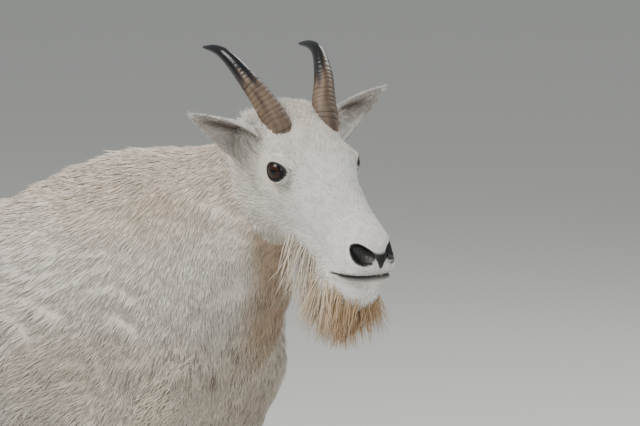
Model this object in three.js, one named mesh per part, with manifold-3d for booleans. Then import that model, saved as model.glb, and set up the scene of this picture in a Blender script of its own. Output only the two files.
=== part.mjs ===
// A standing mountain goat, an adult female in her short summer coat, at life size in millimetres.
// +X is the way the body faces, +Y its left side and +Z up. The head is turned to the goat's right.
// The body is one smooth surface, where a distance field made of limbs and lumps is zero. Each node
// is a net of rays cast from a line inside the body to that surface, so neighbours meet face to face.
import * as THREE from "three";
import { mergeVertices } from "three/addons/utils/BufferGeometryUtils.js";
import Module from "manifold-3d";

const wasm = await Module();
wasm.setup();

// Driving dimensions
const gap = 0.3; // clear space between neighbouring nodes
const legCutHeight = 474; // the legs leave the trunk at this height
const shoulderHeight = 560; // how far up into the trunk a foreleg's own section runs
const hoofHeight = 44;
const eyeRadius = 15.5;
const lidThickness = 2.8;
const hornRootRadius = 18;
const earLength = 112;

// Where the head sits: the point midway between the eyes, and how the head is turned
const headPlace = new THREE.Vector3(515, -60, 921);
const headYaw = THREE.MathUtils.degToRad(-26);
const headPitch = THREE.MathUtils.degToRad(33);
const headRoll = THREE.MathUtils.degToRad(1.5);
const headMatrix = new THREE.Matrix4()
  .makeTranslation(headPlace)
  .multiply(new THREE.Matrix4().makeRotationZ(headYaw))
  .multiply(new THREE.Matrix4().makeRotationY(headPitch))
  .multiply(new THREE.Matrix4().makeRotationX(headRoll));
const intoHead = headMatrix.clone().invert();

const vec = (x, y, z) => new THREE.Vector3(x, y, z);
const onHead = (x, y, z) => vec(x, y, z).applyMatrix4(headMatrix);
const alongHead = (x, y, z) => vec(x, y, z).transformDirection(headMatrix);
const mix = (a, b, t) => a + (b - a) * t;

// Repeatable random numbers, so that the locks vary but never change between runs
function makeRandom(seed) {
  let state = seed;
  return () => {
    state = (state * 1664525 + 1013904223) % 4294967296;
    return state / 4294967296;
  };
}

// Distance fields

const blendMin = (a, b, reach) => {
  const h = Math.max(reach - Math.abs(a - b), 0) / reach;
  return Math.min(a, b) - (h * h * reach) / 4;
};

// Roughly the distance to an ellipsoid with its centre at the origin
function ellipsoidDistance(x, y, z, a, b, c) {
  const near = Math.sqrt((x / a) ** 2 + (y / b) ** 2 + (z / c) ** 2);
  const steep = Math.sqrt((x / a ** 2) ** 2 + (y / b ** 2) ** 2 + (z / c ** 2) ** 2);
  return steep < 1e-9 ? -Math.min(a, b, c) : (near * (near - 1)) / steep;
}

const lump = (x, y, z, a, b, c) => (p) => ellipsoidDistance(p.x - x, p.y - y, p.z - z, a, b, c);

// A limb with an oval section. Each station is [x, y, z, half width sideways, half depth].
function limb(stations, stepsPerSpan = 3) {
  const path = new THREE.CatmullRomCurve3(stations.map((s) => vec(s[0], s[1], s[2])));
  const girth = new THREE.CatmullRomCurve3(stations.map((s, i) => vec(s[3], s[4], i)));
  const count = (stations.length - 1) * stepsPerSpan;
  const samples = Array.from({ length: count + 1 }, (_, i) => ({
    at: path.getPoint(i / count),
    girth: girth.getPoint(i / count),
  }));
  const links = samples.slice(1).map((end, i) => {
    const start = samples[i];
    const axis = end.at.clone().sub(start.at);
    const length = axis.length();
    axis.divideScalar(length);
    const side = vec(0, 1, 0).addScaledVector(axis, -axis.y).normalize();
    const top = axis.clone().cross(side);
    return { start, end, axis, length, side, top };
  });
  return (p) => {
    let nearest = Infinity;
    for (const link of links) {
      const dx = p.x - link.start.at.x;
      const dy = p.y - link.start.at.y;
      const dz = p.z - link.start.at.z;
      const run = dx * link.axis.x + dy * link.axis.y + dz * link.axis.z;
      const t = Math.min(Math.max(run / link.length, 0), 1);
      const wide = mix(link.start.girth.x, link.end.girth.x, t);
      const deep = mix(link.start.girth.y, link.end.girth.y, t);
      const d = ellipsoidDistance(
        run - t * link.length,
        dx * link.side.x + dy * link.side.y + dz * link.side.z,
        dx * link.top.x + dy * link.top.y + dz * link.top.z,
        Math.min(wide, deep), wide, deep,
      );
      nearest = Math.min(nearest, d);
    }
    return nearest;
  };
}

// Trunk: rump, loin, barrel, chest and the hump over the shoulders
const trunk = limb([
  [-398, 0, 738, 84, 80],
  [-320, 0, 730, 122, 116],
  [-220, 0, 709, 136, 146],
  [-100, 0, 688, 141, 155],
  [0, 0, 676, 147, 164],
  [90, 0, 680, 147, 186],
  [180, 0, 696, 139, 205],
  [250, 0, 709, 127, 208],
  [284, 0, 702, 102, 178],
  [304, 0, 660, 72, 110],
]);
const hump = limb([
  [98, 0, 820, 42, 44],
  [192, 0, 846, 46, 54],
  [285, -2, 852, 44, 54],
  [352, -8, 865, 42, 48],
]);
const neckCore = limb([
  [255, 0, 772, 86, 116],
  [314, -4, 806, 78, 98],
  [380, -18, 857, 69, 88],
  [435, -34, 902, 60, 76],
  [466, -45, 925, 52, 63],
]);

// Legs, each side made from the same stations. Lean moves a foot along X for a natural stance.
const standHeight = 520;
const leaned = (stations, side, lean) =>
  stations.map(([x, y, z, wide, deep]) => [
    x + lean * Math.max(0, 1 - z / standHeight), side * y, z, wide, deep,
  ]);
const shoulderStations = [
  [252, 76, 834, 26, 60],
  [296, 94, 714, 36, 72],
  [316, 98, 636, 42, 58],
];
const armStations = [
  [316, 98, 628, 42, 52],
  [276, 105, 540, 42, 52],
  [268, 105, 462, 37, 46],
  [268, 101, 392, 32, 38],
  [272, 98, 328, 28, 31],
  [275, 97, 288, 29, 32],
  [271, 96, 250, 25.5, 27],
  [269, 96, 205, 23.5, 25],
  [269, 96, 155, 23, 24.5],
  [270, 96, 114, 26, 28],
  [278, 96, 84, 25, 26],
  [289, 96, 58, 27.5, 29],
  [296, 96, 38, 28.5, 30],
];
const thighStations = [
  [-262, 76, 744, 52, 92],
  [-252, 96, 652, 56, 104],
  [-224, 106, 570, 50, 84],
  [-205, 108, 522, 43, 60],
];
const shankStations = [
  [-212, 108, 530, 43, 60],
  [-262, 104, 468, 38, 57],
  [-322, 99, 408, 32, 45],
  [-362, 96, 362, 28, 36],
  [-374, 96, 318, 26.5, 30],
  [-371, 96, 268, 24.5, 27.5],
  [-366, 96, 205, 23.5, 26],
  [-362, 96, 158, 23.5, 26],
  [-358, 96, 118, 26.5, 29.5],
  [-348, 96, 86, 25.5, 27],
  [-336, 96, 58, 28, 29],
  [-329, 96, 38, 29, 30],
];
const buttockStations = [
  [-358, 66, 742, 48, 64],
  [-346, 88, 650, 46, 62],
  [-306, 98, 560, 40, 52],
];
const feet = {
  foreleg_right: { side: -1, lean: 20, stations: armStations },
  foreleg_left: { side: 1, lean: -22, stations: armStations },
  hindleg_right: { side: -1, lean: -24, stations: shankStations },
  hindleg_left: { side: 1, lean: 22, stations: shankStations },
};
const legFields = Object.values(feet).map(({ side, lean, stations }) =>
  limb(leaned(stations, side, lean)));
const hockPoints = [feet.hindleg_right, feet.hindleg_left].map(({ side, lean }) =>
  lump(-392 + lean * (1 - 360 / standHeight), side * 95, 358, 20, 19, 30));
const muscles = [-1, 1].flatMap((side) => [
  { field: limb(leaned(shoulderStations, side, 0)), reach: 70 },
  { field: limb(leaned(thighStations, side, 0)), reach: 80 },
  { field: limb(leaned(buttockStations, side, 0)), reach: 60 },
]);

function bodyField(p) {
  let d = blendMin(trunk(p), neckCore(p), 74);
  d = blendMin(d, hump(p), 50);
  for (const muscle of muscles) d = blendMin(d, muscle.field(p), muscle.reach);
  for (const leg of legFields) d = blendMin(d, leg(p), 46);
  for (const hock of hockPoints) d = blendMin(d, hock(p), 20);
  return d;
}

// Head, in its own frame: x from between the eyes to the nose, y left, z to the forehead
const skull = limb([
  [-72, 0, -4, 46, 43],
  [-40, 0, -7, 48, 47],
  [0, 0, -10, 46, 51],
  [40, 0, -13, 42, 49],
  [80, 0, -16, 38, 42],
  [120, 0, -17, 34, 34],
  [150, 0, -17, 28, 26],
]);
const jawStations = [
  [-54, 30, -56, 13, 36],
  [0, 25, -74, 13, 25],
  [60, 17, -74, 13, 22],
  [115, 9, -66, 15, 18],
  [150, 2, -56, 17, 17],
];
const headLumps = [-1, 1].flatMap((side) => [
  { field: limb(jawStations.map(([x, y, z, w, h]) => [x, side * y, z, w, h])), reach: 22 },
  { field: lump(2, side * 40, 10, 30, 12, 20), reach: 14 }, // brow and rim of the eye socket
  { field: lump(-14, side * 34, -46, 44, 14, 34), reach: 22 }, // cheek
  { field: lump(157, side * 16, -4, 15, 13, 14), reach: 10 }, // wing of the nostril
  { field: lump(146, side * 15, -32, 27, 15, 13), reach: 14 }, // upper lip
  { field: lump(-44, side * 32, 17, 22, 19, 20), reach: 14 }, // root of the horn
  { field: lump(-68, side * 46, 4, 22, 22, 22), reach: 22 }, // root of the ear
]);
const woolCrest = lump(-66, 0, 12, 34, 46, 25);
const chin = lump(155, 0, -64, 23, 24, 22);

const headPoint = new THREE.Vector3();
function headField(p) {
  const q = headPoint.copy(p).applyMatrix4(intoHead);
  let d = skull(q);
  for (const part of headLumps) d = blendMin(d, part.field(q), part.reach);
  d = blendMin(d, woolCrest(q), 20);
  return blendMin(d, chin(q), 8);
}

const wholeField = (p) => blendMin(bodyField(p), headField(p), 34);

// Turning fields into closed meshes

// How far out from a point inside the field reaches the level asked for
function reachOut(field, from, direction, level, furthest) {
  const p = new THREE.Vector3();
  const value = (r) => field(p.copy(from).addScaledVector(direction, r)) - level;
  let inside = 0;
  let outside = 0;
  while (outside < furthest) {
    const d = value(outside);
    if (d > 0) break;
    inside = outside;
    outside += Math.max(1.5, -d * 0.7);
  }
  for (let i = 0; i < 16; i++) {
    const middle = (inside + outside) / 2;
    if (value(middle) > 0) outside = middle;
    else inside = middle;
  }
  return (inside + outside) / 2;
}

// A closed mesh through rings of points, with a flat or pointed end at each end
function closeRings(rings, startPoint, endPoint) {
  const positions = [startPoint, ...rings.flat(), endPoint].flatMap((p) => [p.x, p.y, p.z]);
  const around = rings[0].length;
  const at = (ring, i) => 1 + ring * around + (i % around);
  const last = positions.length / 3 - 1;
  const index = [];
  for (let i = 0; i < around; i++) {
    index.push(0, at(0, i + 1), at(0, i));
    index.push(last, at(rings.length - 1, i), at(rings.length - 1, i + 1));
    for (let r = 0; r + 1 < rings.length; r++) {
      index.push(at(r, i), at(r, i + 1), at(r + 1, i + 1));
      index.push(at(r, i), at(r + 1, i + 1), at(r + 1, i));
    }
  }
  return new THREE.BufferGeometry()
    .setAttribute("position", new THREE.Float32BufferAttribute(positions, 3))
    .setIndex(index);
}

// Casts rings of rays from stations { at, side, top, tilt }: tilt is 0 for a ring square to the
// line and up to 90 degrees for one that closes a round end. End points are cast or given.
function castSkin(field, stations, around, { level = 0, furthest = 420, start, end }) {
  const rings = stations.map(({ at, side, top, ahead, tilt = 0 }) =>
    Array.from({ length: around }, (_, i) => {
      const angle = (2 * Math.PI * i) / around;
      const ray = side.clone().multiplyScalar(Math.cos(angle) * Math.cos(tilt))
        .addScaledVector(top, Math.sin(angle) * Math.cos(tilt));
      if (tilt) ray.addScaledVector(ahead, Math.sin(tilt));
      return at.clone().addScaledVector(ray, reachOut(field, at, ray, level, furthest));
    }));
  const endOf = (given, station, sign) =>
    given ?? station.at.clone().addScaledVector(station.ahead, sign * reachOut(
      field, station.at, station.ahead.clone().multiplyScalar(sign), level, furthest));
  const startSign = stations[0].tilt ? 1 : -1;
  return closeRings(rings, endOf(start, stations[0], startSign), endOf(end, stations.at(-1), 1));
}

const domeTilts = (count) =>
  Array.from({ length: count }, (_, i) => ((i + 1) / (count + 1)) * (Math.PI / 2));

function solidOf(geometry) {
  const bare = new THREE.BufferGeometry()
    .setAttribute("position", geometry.getAttribute("position"))
    .setIndex(geometry.index);
  const merged = mergeVertices(bare, 1e-4);
  return new wasm.Manifold(new wasm.Mesh({
    numProp: 3,
    vertProperties: merged.attributes.position.array,
    triVerts: new Uint32Array(merged.index.array),
  }));
}

function geometryOf(solid) {
  const mesh = solid.getMesh();
  return new THREE.BufferGeometry()
    .setAttribute("position", new THREE.BufferAttribute(mesh.vertProperties, 3))
    .setIndex(new THREE.BufferAttribute(mesh.triVerts, 1));
}

const largestOf = (solid) =>
  solid.decompose().sort((a, b) => b.volume() - a.volume())[0];

const joined = (solids) => solids.reduce((all, one) => all.add(one));

// Keeps the side of a plane that its normal points to
const keepAhead = (solid, plane) => solid.trimByPlane(plane.normal.toArray(), plane.at.dot(plane.normal));
const keepBehind = (solid, plane) =>
  solid.trimByPlane(plane.normal.clone().negate().toArray(), -plane.at.dot(plane.normal));
const shifted = (plane, by) => ({
  at: plane.at.clone().addScaledVector(plane.normal, by),
  normal: plane.normal,
});

// The two cuts that part trunk, neck and head
const neckBase = { at: vec(334, -4, 802), normal: vec(0.803, -0.16, 0.574).normalize() };
const headBase = { at: onHead(-50, 0, -56), normal: alongHead(0.64, 0, 0.77) };
const planeDistance = (p, plane) =>
  (p.x - plane.at.x) * plane.normal.x + (p.y - plane.at.y) * plane.normal.y +
  (p.z - plane.at.z) * plane.normal.z;

// Trunk: cast past its cuts and then trimmed, so that its edges there are true
function makeTrunk() {
  const overrun = 34;
  const clipped = (p) => Math.max(
    bodyField(p), planeDistance(p, neckBase) - overrun, legCutHeight - overrun - p.z);
  const side = vec(0, 1, 0);
  const top = vec(0, 0, 1);
  const middleHeight = (x) => mix(742, 706, THREE.MathUtils.smoothstep(x, -360, -60));
  const back = -352;
  const front = 262;
  const ringCount = 16;
  const stations = [
    ...domeTilts(5).reverse().map((tilt) => ({
      at: vec(back, 0, middleHeight(back)), side, top, ahead: vec(-1, 0, 0), tilt })),
    ...Array.from({ length: ringCount }, (_, i) => {
      const x = mix(back, front, i / (ringCount - 1));
      return { at: vec(x, 0, middleHeight(x)), side, top, ahead: vec(1, 0, 0) };
    }),
    ...domeTilts(5).map((tilt) => ({
      at: vec(front, 0, middleHeight(front)), side, top, ahead: vec(1, 0, 0), tilt })),
  ];
  const cast = solidOf(castSkin(clipped, stations, 32, {}));
  const floorCut = { at: vec(0, 0, legCutHeight + gap / 2), normal: vec(0, 0, 1) };
  return keepAhead(keepBehind(cast, shifted(neckBase, -gap / 2)), floorCut);
}

// A ring of rays in a plane through a point
function stationIn(at, normal) {
  const side = vec(0, -1, 0).addScaledVector(normal, normal.y).normalize();
  return { at, side, top: side.clone().cross(normal).negate(), ahead: normal };
}

function makeNeck(level) {
  const start = shifted(neckBase, gap / 2);
  const end = shifted(headBase, -gap / 2);
  const count = 8;
  const bend = new THREE.QuadraticBezierCurve3(start.at, vec(404, -22, 850), end.at);
  const stations = Array.from({ length: count }, (_, i) => {
    const t = i / (count - 1);
    const normal = start.normal.clone().lerp(end.normal, t).normalize();
    return stationIn(bend.getPoint(t), normal);
  });
  return solidOf(castSkin(wholeField, stations, 32, { level, start: start.at, end: end.at }));
}

// Head: its rings are square to the head's own length, after a first ring in the cut
function makeHeadSkin(level) {
  const cut = shifted(headBase, gap / 2);
  const side = alongHead(0, 1, 0);
  const top = alongHead(0, 0, 1);
  const ahead = alongHead(1, 0, 0);
  const middle = (x) => onHead(x, 0, mix(-16, -30, THREE.MathUtils.smoothstep(x, -80, 20)));
  const rearX = -112;
  const frontX = 136;
  const ringCount = 18;
  const stations = [
    ...Array.from({ length: ringCount }, (_, i) => ({
      at: middle(mix(rearX, frontX, i / (ringCount - 1))), side, top, ahead })),
    ...domeTilts(5).map((tilt) => ({ at: middle(frontX), side, top, ahead, tilt })),
  ];
  const clipped = (p) => Math.max(wholeField(p), -planeDistance(p, headBase) - 34);
  const cast = solidOf(castSkin(clipped, stations, 28, { level }));
  return keepAhead(cast, cut);
}

const ball = (at, radius) =>
  solidOf(new THREE.SphereGeometry(radius, 14, 9).translate(at.x, at.y, at.z));

// A solid turned so that its own axes lie along three directions, and moved to a place
function placed(geometry, xAxis, yAxis, at) {
  const z = xAxis.clone().cross(yAxis).normalize();
  const y = z.clone().cross(xAxis).normalize();
  const matrix = new THREE.Matrix4().makeBasis(xAxis.clone().normalize(), y, z).setPosition(at);
  return solidOf(geometry.clone().applyMatrix4(matrix));
}

const eyeCentre = (side) => onHead(0, side * 46, 1.5);
const gaze = (side) => alongHead(0.27, side * 0.95, 0.1);

// The lids: a thin round shell over the eye, with an opening wider than high
function makeLids(side) {
  const shell = ball(eyeCentre(side), eyeRadius + lidThickness);
  const opening = new THREE.CylinderGeometry(20, 6, 30, 14).scale(1, 1, 0.88).rotateZ(-Math.PI / 2)
    .translate(15, 0, 0);
  return shell.subtract(placed(opening, gaze(side), alongHead(1, 0, -0.3), eyeCentre(side)));
}

// The nostril: a slanting comma-shaped hollow beside the nose's middle
function makeNostril(side) {
  const hollow = new THREE.SphereGeometry(1, 10, 8).scale(17, 6.2, 12);
  const along = alongHead(0.8, -side * 0.58, 0.1);
  return placed(hollow, along, alongHead(0.15, side * 0.2, 0.95), onHead(160, side * 18.5, 0));
}

// The space the lower jaw takes up: below the line of the mouth and ahead of the throat
function jawBlock(grow) {
  const shape = new THREE.Shape([
    [230, 10], [176, -27], [128, -60], [70, -76], [12, -84], [12, -190], [230, -190],
  ].map(([x, z], i) => new THREE.Vector2(x - (i > 3 && i < 6 ? grow : 0), z + (i < 5 ? grow : 0))));
  const block = new THREE.ExtrudeGeometry(shape, { depth: 200, bevelEnabled: false });
  return placed(block, alongHead(1, 0, 0), alongHead(0, 0, 1), onHead(0, 100, 0));
}

// A thin wedge along the line of the mouth, which leaves a groove in the lips
function makeLipLine() {
  const shape = new THREE.Shape([
    [215, 2], [176, -25.8], [150, -43], [122, -64.3], [150, -45.4], [176, -28.4], [215, -1],
  ].map(([x, z]) => new THREE.Vector2(x, z)));
  const block = new THREE.ExtrudeGeometry(shape, { depth: 120, bevelEnabled: false });
  const wedge = placed(block, alongHead(1, 0, 0), alongHead(0, 0, 1), onHead(0, 60, 0));
  return wedge.subtract(makeHeadSkin(-4));
}

// The beard's dense middle, from under the jaw to halfway down its locks
const beardStations = [
  [97, 0, -70, 27, 58],
  [110, 0, -90, 29, 56],
  [124, 0, -108, 27, 48],
  [135, 0, -122, 17, 34],
];
function makeBeardCore() {
  const field = limb(beardStations);
  const line = new THREE.CatmullRomCurve3(beardStations.map(([x, y, z]) => vec(x, y, z)));
  const stations = Array.from({ length: 7 }, (_, i) =>
    stationIn(line.getPointAt(i / 6), line.getTangentAt(i / 6)));
  return solidOf(castSkin(field, stations, 14, { start: line.getPointAt(0) }).applyMatrix4(headMatrix));
}

// Horn: an oval bar along a curve, with growth rings on its lower half
const hornPath = (side) => new THREE.CatmullRomCurve3([
  [-38, 28, 6], [-50, 33.5, 26], [-80, 43.5, 43.5], [-111, 56, 56.5],
  [-149, 67.5, 64], [-174, 71.5, 58.5], [-200, 73.5, 42],
].map(([x, y, z], i) => onHead(x, side * y, z - side * 0.1 * i * i)));

function makeHorn(side, grown = 0) {
  const path = hornPath(side);
  const around = 10;
  const ridgeCount = 6;
  const ridged = Array.from({ length: ridgeCount * 2 + 1 }, (_, i) => ({
    t: mix(0.06, 0.5, i / (ridgeCount * 2)), ridge: i % 2 ? 1.035 : 0.975 }));
  const smooth = Array.from({ length: 8 }, (_, i) => ({ t: mix(0.55, 0.985, i / 7), ridge: 1 }));
  const sideways = alongHead(0, 1, 0);
  const rings = [{ t: 0, ridge: 1 }, ...ridged, ...smooth].map(({ t, ridge }) => {
    const at = path.getPointAt(t);
    const along = path.getTangentAt(t);
    const across = sideways.clone().addScaledVector(along, -along.dot(sideways)).normalize();
    const deep = along.clone().cross(across);
    const radius = ridge * hornRootRadius * (1 - t) ** 0.62 * (1 - 0.16 * t) + 0.6 + grown;
    return Array.from({ length: around }, (_, i) => {
      const angle = (2 * Math.PI * i) / around;
      return at.clone().addScaledVector(across, Math.cos(angle) * radius * 0.9)
        .addScaledVector(deep, Math.sin(angle) * radius);
    });
  });
  return solidOf(closeRings(rings, path.getPointAt(0), path.getPointAt(1)));
}

// Ear: a leaf-shaped cup that opens forwards and outwards, the left one turned further forwards
function makeEar(side) {
  const root = side > 0 ? vec(-60, 44, -15) : vec(-54, -46, -16);
  const tip = side > 0 ? vec(-96, 142, 46) : vec(-92, -147, 38);
  const axis = tip.clone().sub(root).normalize();
  const mouth = side > 0 ? vec(0.96, 0.17, 0.2) : vec(0.82, -0.42, -0.34);
  const front = mouth.addScaledVector(axis, -mouth.dot(axis)).normalize();
  const across = front.clone().cross(axis).normalize();
  const alongSteps = 10;
  const acrossSteps = 6;
  const thickness = 3.4;
  const point = (u, v, offset) => {
    const widest = 27.5;
    const half = widest * Math.sin(Math.PI * Math.min(1, 0.32 + 0.68 * u)) ** 0.85 + 0.8;
    const curl = mix(1.95, 0.75, Math.min(1, u * 1.35));
    const radius = half / Math.sin(Math.min(curl, Math.PI / 2));
    const r = Math.max(radius + offset, 0.4);
    const angle = v * curl;
    const place = root.clone().lerp(tip, u).addScaledVector(front, -6 * Math.sin(Math.PI * u))
      .addScaledVector(across, r * Math.sin(angle))
      .addScaledVector(front, radius * Math.cos(curl) - r * Math.cos(angle) + 8);
    return onHead(place.x, place.y, place.z);
  };
  // Each ring goes over the back of the ear and returns along its inside.
  const rings = Array.from({ length: alongSteps + 1 }, (_, i) => {
    const u = (i / alongSteps) * 0.975;
    const thin = thickness * mix(1, 0.35, u) * 0.5;
    const spread = Array.from({ length: acrossSteps + 1 }, (_, j) => mix(-1, 1, j / acrossSteps));
    const back = spread.map((v) => point(u, v, thin));
    const inside = spread.slice().reverse().map((v) => point(u, v * 0.97, -thin));
    return [...back, ...inside];
  });
  const middleOf = (ring) => ring.reduce((sum, p) => sum.add(p), vec(0, 0, 0)).divideScalar(ring.length);
  const around = rings[0].length;
  const end = middleOf(rings.at(-1)).addScaledVector(alongHead(axis.x, axis.y, axis.z), 3);
  return { rings, around, tip: end };
}

// Closes a ring of a thin cup by a strip between its two faces
function closeCup({ rings, around, tip }) {
  const positions = [...rings.flat(), tip].flatMap((p) => [p.x, p.y, p.z]);
  const at = (ring, i) => ring * around + (i % around);
  const last = positions.length / 3 - 1;
  const index = [];
  for (let r = 0; r + 1 < rings.length; r++) {
    for (let i = 0; i < around; i++) {
      index.push(at(r, i), at(r, i + 1), at(r + 1, i + 1));
      index.push(at(r, i), at(r + 1, i + 1), at(r + 1, i));
    }
  }
  for (let i = 0; i < around; i++) index.push(last, at(rings.length - 1, i), at(rings.length - 1, i + 1));
  for (let i = 0; i < around / 2 - 1; i++) {
    const far = around - 1 - i;
    index.push(i, far, i + 1);
    index.push(i + 1, far, far - 1);
  }
  return new THREE.BufferGeometry()
    .setAttribute("position", new THREE.Float32BufferAttribute(positions, 3))
    .setIndex(index);
}

// Leg below a height: level rings around the leg, from the cut down to the hoof
function makeLeg({ side, lean, stations }, from, to, ringCount, grown = 0) {
  const line = new THREE.CatmullRomCurve3(
    leaned(stations, side, lean).map(([x, y, z]) => vec(x, y, z)));
  const samples = line.getPoints(240);
  const centreAt = (z) => {
    const i = Math.max(1, samples.findIndex((p) => p.z <= z));
    const a = samples[i - 1];
    const b = samples[i];
    return a.clone().lerp(b, (a.z - z) / (a.z - b.z));
  };
  const level = Array.from({ length: ringCount }, (_, i) => {
    const z = mix(from, to, i / (ringCount - 1));
    return { at: centreAt(z), side: vec(0, -1, 0), top: vec(-1, 0, 0), ahead: vec(0, 0, -1) };
  });
  const start = level[0].at.clone();
  const end = level.at(-1).at.clone();
  return solidOf(castSkin(bodyField, level, 12, { level: grown, furthest: 120, start, end }));
}

// One toe of a cloven hoof, flat on the ground: level sections that shrink and slope back
function makeToe(x, y, side, inner) {
  const around = 12;
  const levels = [
    { z: 0, length: 35, wide: 13.6, back: 0 },
    { z: 5, length: 35, wide: 14.4, back: -0.5 },
    { z: 26, length: 30, wide: 14, back: -4 },
    { z: hoofHeight, length: 25, wide: 12.6, back: -9 },
  ];
  const outward = inner ? -side : side;
  const rings = levels.map(({ z, length, wide, back }) =>
    Array.from({ length: around }, (_, i) => {
      const angle = (2 * Math.PI * i) / around;
      const c = Math.cos(angle);
      const s = Math.sin(angle);
      const flat = s * outward < 0 ? 0.78 : 1.08; // the side by the cleft is flatter
      const square = 1 + 0.1 * Math.abs(Math.sin(2 * angle));
      return vec(x + back + c * length * square, y + outward * 15 + s * wide * flat, z);
    }));
  const middle = (ring) => vec(x + ring.back, y + outward * 15, ring.z);
  return solidOf(closeRings(rings, middle(levels[0]), middle(levels.at(-1))));
}

// A dewclaw: a short blunt cone that points down and back
function makeDewclaw(at, side) {
  const cone = new THREE.CylinderGeometry(3.5, 9, 24, 9).rotateZ(-Math.PI / 2).scale(1, 1, 0.8);
  return placed(cone, vec(-0.62, side * 0.12, -0.75).normalize(), vec(0, 1, 0), at);
}

const tailStations = [
  [-440, 0, 806, 28, 22],
  [-480, 0, 796, 31, 19],
  [-508, 0, 766, 30, 16],
  [-522, 0, 728, 23, 13],
  [-526, 0, 694, 8, 6],
];
function makeTail() {
  const field = limb(tailStations);
  const line = new THREE.CatmullRomCurve3(tailStations.map(([x, y, z]) => vec(x, y, z)));
  const level = Array.from({ length: 8 }, (_, i) =>
    stationIn(line.getPointAt(i / 7), line.getTangentAt(i / 7)));
  return solidOf(castSkin(field, level, 12, { start: line.getPointAt(0) }));
}

// Locks of hair

// Where a ray from inside a body leaves it, and the way the surface faces there
function rootAt(field, inside, toward, furthest = 260) {
  const ray = toward.clone().normalize();
  const at = inside.clone().addScaledVector(ray, reachOut(field, inside, ray, 0, furthest));
  const slope = (x, y, z) => field(at.clone().add(vec(x, y, z))) - field(at.clone().sub(vec(x, y, z)));
  return { at, normal: vec(slope(1, 0, 0), slope(0, 1, 0), slope(0, 0, 1)).normalize() };
}

// A flat tapered lock that leaves its root along the lie of the coat and bends with it.
// Its four-sided section is widest a third of the way along.
function makeLock({ at, normal }, lie, { length, width, sink = 7, lift = 0.22, droop = 0.25, steps = 4 }) {
  const along = lie.clone().addScaledVector(normal, lift - lie.dot(normal)).normalize();
  const across = along.clone().cross(normal).normalize();
  const spine = new THREE.QuadraticBezierCurve3(
    at.clone().addScaledVector(normal, -sink).addScaledVector(along, -2),
    at.clone().addScaledVector(along, length * 0.5).addScaledVector(normal, 1.5),
    at.clone().addScaledVector(along, length).addScaledVector(normal, -length * droop * 0.3)
      .addScaledVector(lie, length * 0.06));
  const rings = Array.from({ length: steps }, (_, i) => {
    const t = i / steps;
    const middle = spine.getPoint(t);
    const forward = spine.getTangent(t);
    const face = forward.clone().cross(across).normalize();
    const half = (width / 2) * (0.72 + 0.9 * t) * (1 - t * t) + 0.35;
    const thick = mix(2.4, 0.5, t);
    return [
      middle.clone().addScaledVector(across, half),
      middle.clone().addScaledVector(face, thick),
      middle.clone().addScaledVector(across, -half),
      middle.clone().addScaledVector(face, -thick),
    ];
  });
  return solidOf(closeRings(rings, spine.getPoint(0), spine.getPoint(1)));
}

// A patch of locks in staggered rows. spot(u, v) gives { inside, toward, lie } for u across and
// v down the patch, both from 0 to 1.
function makeLocks(field, seed, rows, perRow, spot, sizes) {
  const random = makeRandom(seed);
  const jitter = (size) => (random() - 0.5) * size;
  const locks = [];
  for (let row = 0; row < rows; row++) {
    for (let i = 0; i < perRow; i++) {
      const u = (i + 0.5 + (row % 2 ? 0.25 : -0.25)) / perRow + jitter(0.3 / perRow);
      const v = (row + 0.5) / rows + jitter(0.3 / rows);
      const { inside, toward, lie, longer = 1 } = spot(Math.min(1, Math.max(0, u)), v);
      const turned = lie.clone().add(vec(jitter(0.26), jitter(0.26), jitter(0.16))).normalize();
      locks.push(makeLock(rootAt(field, inside, toward), turned, {
        ...sizes,
        length: sizes.length * longer * (1 + jitter(0.24)),
        width: sizes.width * (1 + jitter(0.3)),
      }));
    }
  }
  return locks;
}

const down = vec(0, 0, -1);

// Beard: roots along both sides of the jaw's underside, longest at the chin
const beardField = (p) => {
  const q = p.clone().applyMatrix4(intoHead);
  return Math.min(headField(p), limb(beardStations)(q));
};
const beardSpot = (u, v) => {
  const angle = mix(-1.25, 1.25, u);
  const x = mix(58, 160, v);
  return {
    inside: onHead(x, 0, -62),
    toward: alongHead(0.1 + 0.25 * v, Math.sin(angle), -Math.cos(angle)),
    lie: down.clone().addScaledVector(alongHead(0, 1, 0), 0.34 * Math.sin(angle))
      .addScaledVector(alongHead(1, 0, 0), mix(0.1, 0.02, v)),
    longer: mix(0.8, 1.1, v),
  };
};

// The tuft between and behind the horns
const crestSpot = (u, v) => ({
  inside: onHead(mix(-76, -46, v), 0, 0),
  toward: alongHead(mix(-0.5, 0, v), mix(-0.8, 0.8, u), 1),
  lie: alongHead(-0.8, mix(-0.7, 0.7, u), 0.25),
});

// Ridge of longer hair along the neck and withers, which lies back
const ridgeSpot = (from, to) => (u, v) => ({
  inside: vec(mix(from, to, v), mix(0, -12, v * (to > 320 ? 1 : 0)), 800),
  toward: vec(0, mix(-0.22, 0.22, u), 1),
  lie: vec(-0.9, mix(-0.5, 0.5, u), -0.1),
});
const ridgeHair = { length: 44, width: 30, lift: 0.1, steps: 3 };

// Chest: a short fringe between the forelegs
const chestSpot = (u, v) => ({
  inside: vec(262, 0, 640),
  toward: vec(1, mix(-0.75, 0.75, u), mix(-0.1, -0.95, v)),
  lie: vec(0.05, mix(-0.2, 0.2, u), -1),
});

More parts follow.
